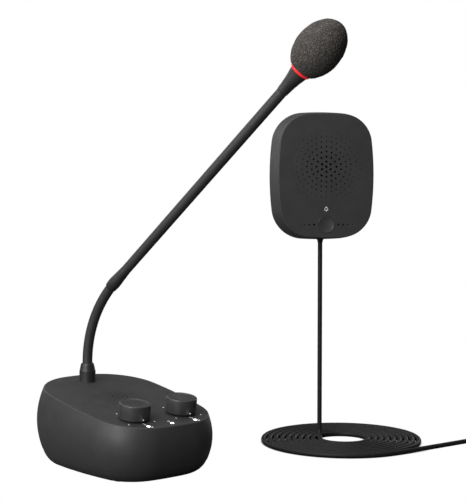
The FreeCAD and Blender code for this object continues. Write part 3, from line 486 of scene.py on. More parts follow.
class Effects:
    """Builds each shared node group once."""

    def __init__(self) -> None:
        """Start with none built."""
        self.built: dict[Effect, bpy.types.NodeTree] = {}

    def place(self, tree: Tree, effect: Effect, inputs: dict) -> bpy.types.NodeOutputs:
        """Place an effect in a tree, building its node group the first time.

        Args:
            tree: The nodes of the finish that uses it.
            effect: The effect.
            inputs: Its values, or sockets to link from, by name.

        Returns:
            The outputs of its group.
        """
        if effect not in self.built:
            group = bpy.data.node_groups.new(effect.value, "ShaderNodeTree")
            maker = {Effect.GRAIN: self.make_grain, Effect.EDGE: self.make_edge,
                     Effect.DUST: self.make_dust}[effect]
            maker(Tree(group))
            self.built[effect] = group
        return tree.add("ShaderNodeGroup", inputs, node_tree=self.built[effect]).outputs

    @staticmethod
    def sockets(tree: Tree, inputs: dict[str, str], outputs: Iterable[str]) -> bpy.types.NodeOutputs:
        """Give a group its named sockets.

        Args:
            tree: The group's nodes.
            inputs: The kind of each input by name.
            outputs: Names of its outputs, all plain numbers.

        Returns:
            What the group is given, by input name.
        """
        for name, kind in inputs.items():
            tree.tree.interface.new_socket(name, in_out="INPUT", socket_type=f"NodeSocket{kind}")
        for name in outputs:
            tree.tree.interface.new_socket(name, in_out="OUTPUT", socket_type="NodeSocketFloat")
        return tree.add("NodeGroupInput").outputs

    def make_grain(self, tree: Tree) -> None:
        """Build the spark-eroded texture of a mould: a fine height and a broad mottle.

        Args:
            tree: The group's nodes.
        """
        given = self.sockets(tree, {"Vector": "Vector", "Scale": "Float"}, ("Height", "Mottle"))
        vector, scale = given["Vector"], given["Scale"]
        fine = tree.noise(vector, scale, 3.0, 0.62)
        cells = tree.cells(vector, scale, "SMOOTH_F1")
        mottle = tree.noise(vector, tree.maths("MULTIPLY", scale, 0.035), 4.0)
        height = tree.maths("ADD", tree.maths("MULTIPLY", fine, 0.7), tree.maths("MULTIPLY", cells, 0.3))
        tree.add("NodeGroupOutput", {"Height": height, "Mottle": mottle})

    def make_edge(self, tree: Tree) -> None:
        """Build the mask for the painted edge highlight, where a rounded normal leaves the true one.

        Args:
            tree: The group's nodes.
        """
        radius = self.sockets(tree, {"Radius": "Float"}, ("Mask",))["Radius"]
        rounded = tree.add("ShaderNodeBevel", {"Radius": radius}, samples=4).outputs["Normal"]
        normal = tree.add("ShaderNodeNewGeometry").outputs["Normal"]
        likeness = tree.vectors("DOT_PRODUCT", rounded, normal, "Value")
        tree.add("NodeGroupOutput", {"Mask": tree.span(likeness, 0.99, 0.86)})

    def make_dust(self, tree: Tree) -> None:
        """Build the mask of fine dust on faces that look up.

        Args:
            tree: The group's nodes.
        """
        vector = self.sockets(tree, {"Vector": "Vector"}, ("Mask",))["Vector"]
        normal = tree.add("ShaderNodeTexCoord").outputs["Normal"]
        upward = tree.add("ShaderNodeSeparateXYZ", {"Vector": normal}).outputs["Z"]
        specks = tree.span(tree.noise(vector, 900.0, 2.0), 0.5, 0.8)
        clouds = tree.span(tree.noise(vector, 45.0, 3.0), 0.35, 0.7, 0.2)
        sown = tree.maths("MULTIPLY", specks, clouds)
        tree.add("NodeGroupOutput", {"Mask": tree.maths("MULTIPLY", sown, tree.span(upward, 0.3, 0.95))})


EFFECTS = Effects()
DUST_COLOUR = (0.35, 0.34, 0.32, 1)


@dataclass(frozen=True)
class Finish:
    """A moulded, painted or plated surface with grain, mottle, a painted highlight along its edges and a little
    dust.

    Scales are in cells a metre, and depths and radii in millimetres.
    """

    name: str
    colour: tuple[float, float, float]
    roughness: float = 0.5
    metallic: float = 0.0
    specular: float = 0.5
    coat: float = 0.0
    sheen: float = 0.0
    emission: float = 0.0
    grain_scale: float = 2600.0
    grain_depth: float = 0.02
    mottle: float = 0.12
    edge_radius: float = 0.6
    edge_highlight_gain: float = 0.0
    dust: float = 0.0
    roughness_spread: float = 0.06

    def tinted(self, tree: Tree, mottle: object) -> Socket:
        """Mix the base colour a little darker and lighter.

        Args:
            tree: The material's nodes.
            mottle: What it varies by.

        Returns:
            The colour.
        """
        dark = (*[part * (1 - self.mottle) for part in self.colour], 1)
        light = (*[part * (1 + self.mottle) for part in self.colour], 1)
        return tree.mix(tree.span(mottle, 0.3, 0.7), dark, light)

    def surface(self, tree: Tree, vector: object) -> tuple[object, object, object]:
        """Build what differs over the surface.

        Args:
            tree: The material's nodes.
            vector: The place on the piece.

        Returns:
            Base colour, roughness and bump height.
        """
        grain = EFFECTS.place(tree, Effect.GRAIN, {"Vector": vector, "Scale": self.grain_scale})
        mottle = grain["Mottle"]
        colour = self.tinted(tree, mottle)
        spread = self.roughness_spread
        roughness = tree.span(mottle, 0.3, 0.7, self.roughness - spread, self.roughness + spread)
        # Painted highlight: edges are mixed towards a lighter colour, broken up by the mottle.
        if self.edge_highlight_gain:
            edge = EFFECTS.place(tree, Effect.EDGE, {"Radius": self.edge_radius * MM})
            light = (*[min(1.0, part * (1 + self.edge_highlight_gain)) for part in self.colour], 1)
            colour = tree.mix(tree.maths("MULTIPLY", edge["Mask"], mottle), colour, light)
        if self.dust:
            dust = EFFECTS.place(tree, Effect.DUST, {"Vector": vector})
            colour = tree.mix(tree.maths("MULTIPLY", dust["Mask"], self.dust), colour, DUST_COLOUR)
        return colour, roughness, grain["Height"]

    def make(self) -> bpy.types.Material:
        """Build the finish.

        Returns:
            Its material.
        """
        material = bpy.data.materials.new(self.name)
        tree = fresh_tree(material)
        vector = tree.add("ShaderNodeTexCoord").outputs["Object"]
        colour, roughness, height = self.surface(tree, vector)
        bump = tree.add("ShaderNodeBump", {"Height": height, "Distance": self.grain_depth * MM})
        shader = tree.add("ShaderNodeBsdfPrincipled", {
            "Base Color": colour, "Roughness": roughness, "Normal": bump.outputs["Normal"],
            "Metallic": self.metallic, "Specular IOR Level": self.specular, "Coat Weight": self.coat,
            "Coat Roughness": 0.2, "Sheen Weight": self.sheen, "Sheen Roughness": 0.5})
        if self.emission:
            tree.tree.links.new(colour, shader.inputs["Emission Color"])
            shader.inputs["Emission Strength"].default_value = self.emission
        tree.add("ShaderNodeOutputMaterial", {"Surface": shader.outputs["BSDF"]})
        return material


@dataclass(frozen=True)
class FoamFinish(Finish):
    """Open-cell foam: painted shade in the pores, and painted highlights as light flecks on the cell walls."""

    pore_scale: float = 1500.0
    warp: float = 0.0009
    fleck_highlight: tuple[float, float, float] = (0.3, 0.28, 0.26)

    def surface(self, tree: Tree, vector: object) -> tuple[object, object, object]:
        """Build the foam's painted shade in the pores, its painted highlight flecks and its height.

        Args:
            tree: The material's nodes.
            vector: The place on the piece.

        Returns:
            Base colour, roughness and bump height.
        """
        scale = self.pore_scale
        bulk = tree.add("ShaderNodeTexNoise", {"Vector": vector, "Scale": scale * 0.5, "Detail": 2.0})
        pushed = tree.vectors("MULTIPLY", bulk.outputs["Color"], (self.warp,) * 3)
        cells = tree.cells(tree.vectors("ADD", vector, pushed), scale, "F1")
        speck = tree.noise(vector, scale * 0.8, 4.0, 0.75)
        base = self.tinted(tree, tree.noise(vector, 130.0, 3.0))
        wall = tree.span(cells, 0.28, 0.62)
        # Painted highlight: light flecks on the cell walls.
        fleck_highlight = tree.maths("MULTIPLY", tree.span(speck, 0.5, 0.72), wall)
        lit = tree.mix(fleck_highlight, base, (*self.fleck_highlight, 1))
        # Painted shade: the colour darkens towards the middle of each pore.
        pore_shade = tree.span(cells, 0.0, 0.3, 0.65, 0.0)
        colour = tree.mix(pore_shade, lit, (*[part * 0.25 for part in self.colour], 1))
        return colour, self.roughness, tree.maths("ADD", cells, tree.maths("MULTIPLY", speck, 0.6))


@dataclass(frozen=True)
class LatheFinish(Finish):
    """A surface with fine rings round a piece's own axis, as turning or brushing leaves."""

    ring_scale: float = 2400.0

    def surface(self, tree: Tree, vector: object) -> tuple[object, object, object]:
        """Build the rings over the plain surface.

        Args:
            tree: The material's nodes.
            vector: The place on the piece.

        Returns:
            Base colour, roughness and bump height.
        """
        colour, roughness, height = super().surface(tree, vector)
        flattened = tree.vectors("MULTIPLY", vector, (0.04, 0.04, 1.0))
        rings = tree.noise(flattened, self.ring_scale, 2.0)
        return colour, roughness, tree.maths("ADD", height, tree.maths("MULTIPLY", rings, 0.5))


@dataclass(frozen=True)
class PiercedFinish(Finish):
    """A shell with holes in a flat face, with painted shade on their walls. The face's sizes are in millimetres.
    """

    face: Matrix = field(default_factory=Matrix)
    half_width: float = 20.0
    half_height: float = 20.0
    wall: float = 3.2
    # colour of the painted shade on the hole walls
    painted_shade: tuple[float, float, float] = (0.004, 0.004, 0.004)

    def surface(self, tree: Tree, vector: object) -> tuple[object, object, object]:
        """Paint shade on the hole walls over the plain surface.

        Args:
            tree: The material's nodes.
            vector: The place on the piece.

        Returns:
            Base colour, roughness and bump height.
        """
        colour, roughness, height = super().surface(tree, vector)
        axes = [tuple(self.face.col[number].to_3d()) for number in range(3)]
        offset = tree.vectors("SUBTRACT", vector, tuple(self.face.translation))
        across, along, out = [tree.vectors("DOT_PRODUCT", offset, axis, "Value") for axis in axes]
        # Painted shade: below the face, down to the wall's depth and inside the pierced patch, the colour turns
        # near black.
        below = tree.span(out, -0.06 * MM, -0.16 * MM)
        inside = tree.maths("MULTIPLY", below, tree.maths("GREATER_THAN", out, -self.wall * MM))
        for value, half in ((across, self.half_width), (along, self.half_height)):
            within = tree.maths("LESS_THAN", tree.maths("ABSOLUTE", value), half * MM)
            inside = tree.maths("MULTIPLY", inside, within)
        return tree.mix(inside, colour, (*self.painted_shade, 1)), roughness, height


class Paint(Enum):
    """A finish that no slot of the record holds."""

    MARK = "print"
    BAND = "band"
    COLLAR = "collar"


def finish_book() -> dict[str | Paint, Finish]:
    """List the finishes.

    Returns:
        Each finish by the record's material slot, and each loose paint by its own name.
    """
    steel = (0.46, 0.46, 0.47)
    return {
        # Both shells have painted shade on the walls of their grille holes.
        "shell": PiercedFinish("charcoal shell", (0.034, 0.0325, 0.0335), 0.5, specular=0.4,
                               grain_depth=0.006, mottle=0.025, edge_highlight_gain=0.15, dust=0.03,
                               face=PANEL.at(0, -1.2), half_width=22.0, half_height=50.0),
        "window_shell": PiercedFinish("charcoal window shell", (0.0378, 0.0364, 0.0373), 0.5, specular=0.35,
                                      grain_depth=0.006, mottle=0.025, edge_highlight_gain=0.3,
                                      face=WINDOW.at(0, 0, 0), half_width=32.0, half_height=44.0),
        "knob": Finish("satin knob", (0.038, 0.038, 0.0385), 0.38, specular=0.5, grain_depth=0.012,
                       edge_highlight_gain=0.6, dust=0.04),
        "button": Finish("satin button", (0.0415, 0.0415, 0.0425), 0.36, grain_depth=0.012, edge_highlight_gain=0.5),
        "foot_rubber": Finish("foot rubber", (0.02, 0.02, 0.02), 0.8, grain_scale=1500.0, grain_depth=0.05),
        "screw": LatheFinish("zinc screw", steel, 0.32, 1.0, grain_depth=0.01, edge_highlight_gain=0.3),
        "ballast": Finish("painted ballast", (0.06, 0.065, 0.07), 0.5, grain_depth=0.06, coat=0.2),
        "board": Finish("circuit board", (0.012, 0.09, 0.03), 0.35, coat=0.4, grain_scale=900.0),
        "speaker_metal": Finish("speaker frame", (0.02, 0.02, 0.021), 0.5, 0.3, grain_depth=0.02),
        "cone_paper": Finish("speaker cone", (0.012, 0.012, 0.013), 0.9, grain_scale=700.0,
                             grain_depth=0.08),
        "magnet": Finish("magnet", (0.03, 0.03, 0.033), 0.6, grain_depth=0.05),
        "pot_metal": LatheFinish("control can", steel, 0.35, 1.0),
        "pot_shaft": LatheFinish("control shaft", (0.5, 0.5, 0.51), 0.28, 1.0),
        "white_lens": Finish("lit lens", (0.93, 0.94, 0.95), 0.25, coat=0.5, emission=4.0, mottle=0.02,
                             grain_depth=0.004),
        "neck_metal": Finish("neck skin", (0.028, 0.028, 0.028), 0.46, specular=0.45, grain_scale=1800.0,
                             grain_depth=0.003, mottle=0.05, edge_highlight_gain=0.4),
        "stem_sleeve": Finish("stem sleeve", (0.0215, 0.0215, 0.0215), 0.46, specular=0.4,
                              grain_depth=0.003, mottle=0.05, edge_highlight_gain=0.15),
        "stem_tube": Finish("stem tube", (0.026, 0.026, 0.0265), 0.52, specular=0.5, grain_scale=3200.0,
                            grain_depth=0.002, mottle=0.04),
        "mic_head": Finish("microphone head", (0.0255, 0.0255, 0.026), 0.48, grain_depth=0.005,
                           edge_highlight_gain=0.4),
        "red_ring": Finish("red light ring", (0.78, 0.022, 0.028), 0.32, coat=0.5, emission=0.36,
                           mottle=0.06, grain_depth=0.004),
        "capsule": LatheFinish("capsule can", steel, 0.3, 1.0),
        "foam": FoamFinish("windscreen foam", (0.05, 0.0455, 0.042), 0.95, specular=0.06, sheen=0.04,
                           grain_depth=0.28, mottle=0.2),
        "socket_plastic": Finish("socket plastic", (0.016, 0.016, 0.017), 0.42, grain_depth=0.01),
        "pad": Finish("adhesive pad", (0.13, 0.13, 0.135), 0.85, grain_scale=1300.0, grain_depth=0.08,
                      mottle=0.2),
        "switch_plastic": Finish("switch body", (0.05, 0.05, 0.052), 0.5),
        "cord_rubber": Finish("lead jacket", (0.0125, 0.0125, 0.013), 0.55, specular=0.2,
                              grain_scale=1900.0, grain_depth=0.003, mottle=0.08),
        "contact_metal": LatheFinish("plated contact", (0.62, 0.56, 0.42), 0.22, 1.0, grain_depth=0.004),
        # The print glows faintly: a painted glow that lifts it above what the lamps give it.
        Paint.MARK: Finish("white print", (0.85, 0.85, 0.86), 0.55, mottle=0.05, grain_depth=0.01,
                           emission=0.3),
        Paint.BAND: Finish("insulating band", (0.015, 0.015, 0.015), 0.4, grain_depth=0.01),
        Paint.COLLAR: LatheFinish("turned collar", (0.0175, 0.0175, 0.018), 0.42, specular=0.42,
                                  grain_depth=0.003, mottle=0.05, edge_highlight_gain=0.5),
    }


class PaintShop:
    """Holds every material, and dresses pieces and carried-over nodes."""

    def __init__(self) -> None:
        """Make the material of each slot and loose paint."""
        self.materials = {name: finish.make() for name, finish in finish_book().items()}

    def dress(self, piece: bpy.types.Object, slot: str, paint: Paint | None = None) -> None:
        """Give a new piece its finish.

        Args:
            piece: The piece.
            slot: The record's slot that it takes its finish from.
            paint: A loose paint that it has in place of that slot's finish.
        """
        piece.data.materials.clear()
        piece.data.materials.append(self.materials[paint or slot])

    def dress_nodes(self) -> None:
        """Give every carried-over node the finish of its own slot."""
        slots = {part["node"]: part["material_slot"] for part in frame["record"]["subparts"]}
        for node, piece in frame["nodes"].items():
            for holder in piece.material_slots:
                holder.material = self.materials[slots[node]]
        log.info("dressed %d carried-over nodes", len(slots))


# ---------------------------------------------------------------- sub-assemblies


@dataclass
class SubAssembly:
    """A group of pieces that are made and dressed together."""

    shop: PaintShop
    made: list[str] = field(default_factory=list)

    def deliver(self, piece: bpy.types.Object, body: str, slot: str, replaces: Iterable[str] = (),
                paint: Paint | None = None) -> bpy.types.Object:
        """Dress a finished piece and set it on its body.

        Args:
            piece: The piece, in place.
            body: The CAD body that it rides on.
            slot: The record's slot for its finish.
            replaces: CAD nodes that it stands for.
            paint: A loose paint, if it has one.

        Returns:
            The piece.
        """
        self.shop.dress(piece, slot, paint)
        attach(piece, body)
        if replaces:
            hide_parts(*replaces)
        self.made.append(piece.name)
        return piece

    def deliver_copies(self, pattern: bpy.types.Object, name: str, places: Iterable[Matrix], slot: str,
                       replaces: Iterable[str] = (), paint: Paint | None = None) -> None:
        """Set numbered copies of a pattern on the fixed body, and remove the pattern.

        Args:
            pattern: The piece that is copied.
            name: What the copies' names start with.
            places: Where each copy goes.
            slot: The record's slot for their finish.
            replaces: CAD nodes that the copies stand for, by way of the first.
            paint: A loose paint, if they have one.
        """
        for number, place in enumerate(places, start=1):
            twin = copied(pattern, f"{name}_{number}", place)
            self.deliver(twin, "base", slot, replaces if number == 1 else (), paint)
        bpy.data.objects.remove(pattern)

    def report(self) -> None:
        """Log the pieces that were made."""
        log.info("%s: %s", type(self).__name__, ", ".join(self.made))


@dataclass
class Lead(SubAssembly):
    """The lead: hanging stretch, flat coil, tail and plug. Millimetres, and degrees for its heading."""

    radius: float = 2.0
    top: float = 180.0
    gland_foot: float = 172.0
    gland_x: float = 199.05
    gland_y: float = -18.31
    heading: float = -129.53
    bend_run: float = 6.5
    straight_end: float = 13.1
    start_radius: float = 19.2
    end_radius: float = 70.4
    turns: float = 9.35
    points_a_turn: int = 24
    first_gap: float = 0.9
    waver: float = 0.14
    length: float = 3.0
    tail: tuple = ((202.46, -109.35, 2.0), (244.38, -111.94, 2.0), (288.35, -113.73, 2.0),
                   (320.22, -116.59, 2.0), (344.22, -116.39, 3.3), (360.15, -114.87, 3.3))
    boot_radius: float = 3.3
    boot_length: float = 14.0
    contact_radius: float = 1.75
    contact_collar: float = 1.6
    contact_length: float = 13.95
    band_levels: tuple = (6.0, 9.4)
    band_width: float = 0.5
    band_proud: float = 0.015

    def drop_points(self) -> list[tuple]:
        """Work out the first stretch of the route.

        Returns:
            The points from inside the gland to the start of the coil.
        """
        x, y, z = self.gland_x, self.gland_y, self.radius
        diagonal = self.bend_run / math.sqrt(2)
        ahead = math.radians(self.heading)
        route = [(x, y, self.top), (x, y, self.straight_end), (x, y, z + diagonal)]
        for along in (diagonal, diagonal + self.bend_run):
            route.append((x + along * math.cos(ahead), y + along * math.sin(ahead), z))
        return route

    def coil_points(self, landing: tuple) -> list[tuple]:
        """Return the coil's turns.

        Args:
            landing: The route's last point before the coil, on its innermost turn.

        Returns:
            The points after the landing, up to the one before the tail.
        """
        ahead = math.radians(self.heading)
        spoke = ahead - math.pi / 2
        centre_x = landing[0] - self.start_radius * math.cos(spoke)
        centre_y = landing[1] - self.start_radius * math.sin(spoke)
        total = round(self.turns * self.points_a_turn)
        growth = self.end_radius - self.start_radius - self.first_gap
        # the spline runs inside its points by this share of their radius
        inside = 0.75 + 0.25 * math.cos(math.tau / self.points_a_turn)
        route = []
        for step in range(1, total):
            share = step / total
            angle = spoke + math.tau * self.turns * share
            settled = min(1.0, self.turns * share)
            loose = self.waver * math.sin(2.7 * angle) * math.sin(math.pi * share)
            radius = (self.start_radius + growth * share + self.first_gap * settled + loose) / inside
            route.append((centre_x + radius * math.cos(angle), centre_y + radius * math.sin(angle),
                          self.radius))
        return route

    def make_cord(self, plug: list[bpy.types.Object]) -> None:
        """Lay the lead along its route.

        Args:
            plug: The pieces on its end; not used.
        """
        drop = self.drop_points()
        route = drop + self.coil_points(drop[-1]) + list(self.tail)
        curve = bpy.data.curves.new("lead", "CURVE")
        curve.dimensions = "3D"
        spline = curve.splines.new("NURBS")
        spline.points.add(len(route) - 1)
        for point, place in zip(spline.points, route):
            point.co = (*[value * MM for value in place], 1)
        spline.order_u = 3
        spline.use_endpoint_u = True
        curve.resolution_u = 6
        curve.bevel_depth = self.radius * MM
        curve.bevel_resolution = 5
        curve.use_fill_caps = True
        piece = bpy.data.objects.new("lead", curve)
        bpy.context.scene.collection.objects.link(piece)
        self.deliver(piece, "base", "cord_rubber", ("cord_drop", "cord_coil", "cord_tail"))

    def make_gland(self) -> None:
        """Make the ribbed strain relief under the window unit."""
        bore = self.radius + 0.03
        outline = [(bore, 0.0), (bore + 0.12, 0.0), (bore + 0.2, 0.2)]
        for rib in range(3):
            foot = 0.4 + 0.6 * rib
            wide = bore + 0.3 + 0.1 * rib
            outline += [(wide - 0.15, foot), (wide, foot + 0.1),
                        (wide, foot + 0.35), (wide - 0.15, foot + 0.45)]
        outline += [(2.95, 2.3), (2.95, 6.2), (4.4, 6.2), (4.4, 7.4), (bore, 7.4)]
        piece = turned("lead_gland", outline, SMALL_ROUND)
        place = Matrix.Translation(Vector((self.gland_x, self.gland_y, self.gland_foot)) * MM)
        self.deliver(settle(piece, place), "base", "cord_rubber", ("cord_gland",))

    def plug_place(self) -> Matrix:
        """Find the end of the lead.

        Returns:
            The place of the plug, with its Z axis away from the lead.
        """
        before, end = [Vector(point) * MM for point in self.tail[-2:]]
        away = (end - before).normalized()
        across = away.cross(UP).normalized()
        return place_from_axes(end, across, away.cross(across), away)

    def make_plug(self) -> list[bpy.types.Object]:
        """Make the moulded boot with its grips, the contact and its insulating bands.

        Returns:
            The four pieces.
        """
        place = self.plug_place()
        boot = self.boot_radius
        outline = [(2.05, 0.0), (2.25, 0.0), (2.45, 0.6)]
        for rib in range(3):
            foot = 1.2 + 1.1 * rib
            wide = 2.6 + 0.18 * rib
            outline += [(wide - 0.25, foot), (wide, foot + 0.15),
                        (wide, foot + 0.6), (wide - 0.2, foot + 0.75)]
        outline += [(boot - 0.25, 5.4), (boot, 6.4), (boot, 8.0), (boot - 0.25, 8.3), (boot - 0.25, 9.3),
                    (boot, 9.6), (boot, 13.4), (boot - 0.4, self.boot_length), (2.0, self.boot_length)]
        sleeve = settle(turned("lead_plug_boot", outline, SMALL_ROUND), place)
        pieces = [self.deliver(sleeve, "base", "cord_rubber", ("plug_boot",))]
        pin = self.contact_radius
        start = self.boot_length
        collar = start + self.contact_collar
        end = collar + self.contact_length
        outline = [(1.5, start), (2.6, start), (2.6, collar - 0.2), (2.4, collar), (pin, collar),
                   (pin, end - 3.4), (1.3, end - 2.8), (pin, end - 2.0), (pin - 0.3, end - 1.2),
                   (0.5, end)]
        contact = settle(turned("lead_plug_contact", outline, SMALL_ROUND), place)
        pieces.append(self.deliver(contact, "base", "contact_metal", ("plug_contact",)))
        proud = pin + self.band_proud
        for number, level in enumerate(self.band_levels, start=1):
            low = collar + level
            high = low + self.band_width
            outline = [(pin - 0.2, low), (proud, low), (proud, high), (pin - 0.2, high)]
            band = settle(turned(f"lead_plug_band_{number}", outline, SMALL_ROUND), place)
            pieces.append(self.deliver(band, "base", "contact_metal", paint=Paint.BAND))
        return pieces

    def make(self) -> None:
        """Make the whole lead."""
        self.make_cord(self.make_plug())
        self.make_gland()
        self.report()


@dataclass
class Knobs(SubAssembly):
    """The two volume knobs, the lit lenses in front of them and the printed marks. Millimetres."""

    radius: float = 12.0
    height: float = 11.3
    gap: float = 1.2
    bore: float = 3.02
    mark_circle: float = 15.8
    mark_radius: float = 0.52
    mark_angles: tuple = (70.0, 110.0, 222.0, 317.0)
    line_start: float = 63.3
    line_end: float = 67.9
    line_width: float = 0.45
    line_corner: float = 0.14
    line_depth: float = 0.05
    ink: float = 0.03
    ink_root: float = -0.02
    lip: float = 0.85
    foot_round: float = 0.35
    index_glint_level: float = 1.35
    lens_radius: float = 1.5
    lens_foot: float = -3.6
    dome_radius: float = 2.75
    dome_centre: float = -2.3

    def knob_outline(self) -> Outline:
        """Draw the knob.

        Returns:
            Its rings from the shaft hole, round its skirt and over its dished top.
        """
        rim = self.radius
        tall = self.height
        lip = self.lip
        low = self.foot_round
        inner = rim - 1.6
        under = [(0.6, 8.0), (self.bore, 8.0), (self.bore, 1.0), (5.0, 1.0), (5.0, 6.5), (inner, 6.5),
                 (inner, 0.0)]
        foot = arc((rim - low, low), low, -90, 0, 3)
        shoulder = arc((rim - lip - 0.05, tall - lip), lip, 0, 90, 6)
        dish = [(rim - 1.7, tall), (rim - 2.1, tall - 0.12), (rim - 2.5, tall - 0.4),
                (rim - 3.2, tall - 0.5), (6.0, tall - 0.62), (2.0, tall - 0.7), (0.4, tall - 0.7)]
        return under + foot + shoulder + dish

    def make_knob(self, name: str, x: float) -> None:
        """Make one knob and the index dot on its skirt, which is partly a painted reflection of the lens light.

        Args:
            name: Side of the knob.
            x: Its distance from the middle line.
        """
        body = f"{name}_control"
        knob = turned(f"{name}_volume_knob", self.knob_outline(), LARGE_ROUND, 28.0)
        place = PANEL.at(x, -PANEL.knob_reach, self.gap)
        self.deliver(settle(knob, place), body, "knob", (f"{name}_knob",))
        # The white dot low on the front of the skirt is partly an index mark and partly a painted reflection of
        # the lens light.
        outline = [(0.05, -0.3), (0.5, -0.3), (0.55, 0.02), (0.42, 0.1), (0.05, 0.12)]
        index_glint = turned(f"{name}_knob_index_glint", outline, TINY_ROUND)
        on_skirt = place @ Matrix.Translation(Vector((0, -self.radius, self.index_glint_level)) * MM)
        facing = Matrix.Rotation(math.radians(90), 4, "X")
        self.deliver(settle(index_glint, on_skirt @ facing), body, "knob", paint=Paint.MARK)

    def make_marks(self, name: str, x: float) -> None:
        """Print the dots round one knob and the line to its lens.

        Args:
            name: Side of the knob.
            x: Its distance from the middle line.
        """
        wide = self.mark_radius
        dot = turned("mark_pattern", [(wide, self.ink_root), (wide, self.ink), (wide * 0.5, self.ink)], 20)
        reach = self.mark_circle
        places = [PANEL.at(x + reach * math.cos(turn), reach * math.sin(turn) - PANEL.knob_reach)
                  for turn in map(math.radians, self.mark_angles)]
        self.deliver_copies(dot, f"{name}_mark", places, "shell", paint=Paint.MARK)
        length = self.line_end - self.line_start
        line = slab(f"{name}_mark_line", self.line_width, length, self.line_depth, self.line_corner)
        place = PANEL.at(x, -(self.line_start + self.line_end) / 2, self.ink - self.line_depth)
        self.deliver(settle(line, place), "base", "shell", paint=Paint.MARK)

    def make_lens(self, name: str, x: float) -> None:
        """Make one domed light guide.

        Args:
            name: Which of the three.
            x: Its distance from the middle line.
        """
        outline = [(0.5, self.lens_foot), (self.lens_radius, self.lens_foot)]
        outline += arc((0.0, self.dome_centre), self.dome_radius, 57, 84, 6)
        lens = settle(turned(f"{name}_lens", outline, 40), PANEL.at(x, -PANEL.lens_reach))
        self.deliver(lens, "base", "white_lens", (f"{name}_indicator",))

    def make_icons(self) -> None:
        """Print a small plain sign beside each lens: a wedge for volume and a ring for power."""
        offset = PANEL.knob_offset
        reach = -PANEL.lens_reach
        turn = Matrix.Rotation(math.radians(90), 4, "Z")
        low, high = self.ink_root, self.ink
        for name, x in (("left", -offset), ("right", offset)):
            wedge = turned(f"{name}_volume_sign", [(1.15, low), (1.15, high)], 3)
            place = PANEL.at(x + 1.8, reach - 2.3) @ turn
            self.deliver(settle(wedge, place), "base", "shell", paint=Paint.MARK)
        ring = turned("power_sign", [(0.95, low), (0.95, high), (0.65, high), (0.65, low)], TINY_ROUND)
        self.deliver(settle(ring, PANEL.at(0, reach + 4.4)), "base", "shell", paint=Paint.MARK)

    def make(self) -> None:
        """Make everything on the panel apart from the neck."""
        for name, side in (("left", -1), ("right", 1)):
            self.make_knob(name, PANEL.knob_offset * side)
            self.make_marks(name, PANEL.knob_offset * side)
        for name, side in (("left", -1), ("centre", 0), ("right", 1)):
            self.make_lens(name, PANEL.knob_offset * side)
        self.make_icons()
        self.report()


@dataclass
class Neck(SubAssembly):
    """Collar and smooth skin of the flexible part. Millimetres."""

    radius: float = 4.0
    collar_radius: float = 6.55
    band: float = 9.0
    bore: float = 4.1
    spin_steps: int = 8

    def make_collar(self) -> None:
        """Make the collar with its cone, cut along the panel."""
        foot = NECK.foot()
        ground = PANEL.at(0, 0)
        normal = PANEL.normal()
        middle = ground.translation
        height = middle.z - (foot.y - middle.y) * normal.y / normal.z
        rise = (foot.z - height) / MM
        outer = self.collar_radius
        band = self.band
        outline = [(self.bore, -3.0), (outer, -3.0), (outer, band - 1.0)]
        outline += arc((outer - 0.3, band - 0.9), 0.3, 0, 60, 3)
        outline += [(outer - 0.35, band), (outer - 0.75, band + 2.2), (5.35, rise - 1.2),
                    (5.05, rise - 0.45), (4.75, rise - 0.1), (4.45, rise), (self.bore, rise),
                    (self.bore, rise - 1.5)]
        collar = turned("gooseneck_collar", outline, LARGE_ROUND, 24.0)
        settle(collar, Matrix.Translation(Vector((foot.x, foot.y, height))))
        with Editing(collar) as bench:
            bpy.ops.mesh.bisect(plane_co=middle, plane_no=normal, clear_inner=True, use_fill=True)
            bench.outward()
        smooth(collar, 24.0)
        self.deliver(collar, "base", "neck_metal", ("neck_collar",), Paint.COLLAR)

    def make_skin(self, number: int) -> bpy.types.Object:
        """Make the skin round one joint: a ring, spun along the neck's arc.

        Args:
            number: The joint, counted from the foot.

        Returns:
            The closed piece.
        """
        start = NECK.middle(number - 1)
        along = NECK.direction(number - 1)
        clear_selection()
        bpy.ops.mesh.primitive_circle_add(vertices=SMALL_ROUND, radius=self.radius * MM,
                                          fill_type="NOTHING")
        skin = named(f"neck_skin_{number}")
        across = NECK.axis
        settle(skin, place_from_axes(start, across, along.cross(across), along))
        with Editing(skin) as bench:
            bpy.ops.mesh.spin(steps=self.spin_steps, angle=NECK.step, center=NECK.centre(), axis=-NECK.axis)
            for middle in (start, NECK.middle(number)):
                bench.pick("VERT", lambda vert: (vert.co - middle).length < (self.radius + 0.05) * MM)
                bpy.ops.mesh.edge_face_add()
            bench.outward()
        smooth(skin, 40.0)
        return skin

    def make(self) -> None:
        """Make the collar and one skin for each joint, curved along the neck's arc."""
        self.make_collar()
        bodies = ["base"] + [f"link_{number}" for number in range(1, 8)] + ["stem"]
        for number in range(1, len(bodies)):
            skin = self.make_skin(number)
            self.shop.dress(skin, "neck_metal")
            node = "neck_stub" if number == 1 else f"neck_link_{number - 1}"
            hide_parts(node)
            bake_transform(skin)
            self.made.append(skin.name)
        self.report()


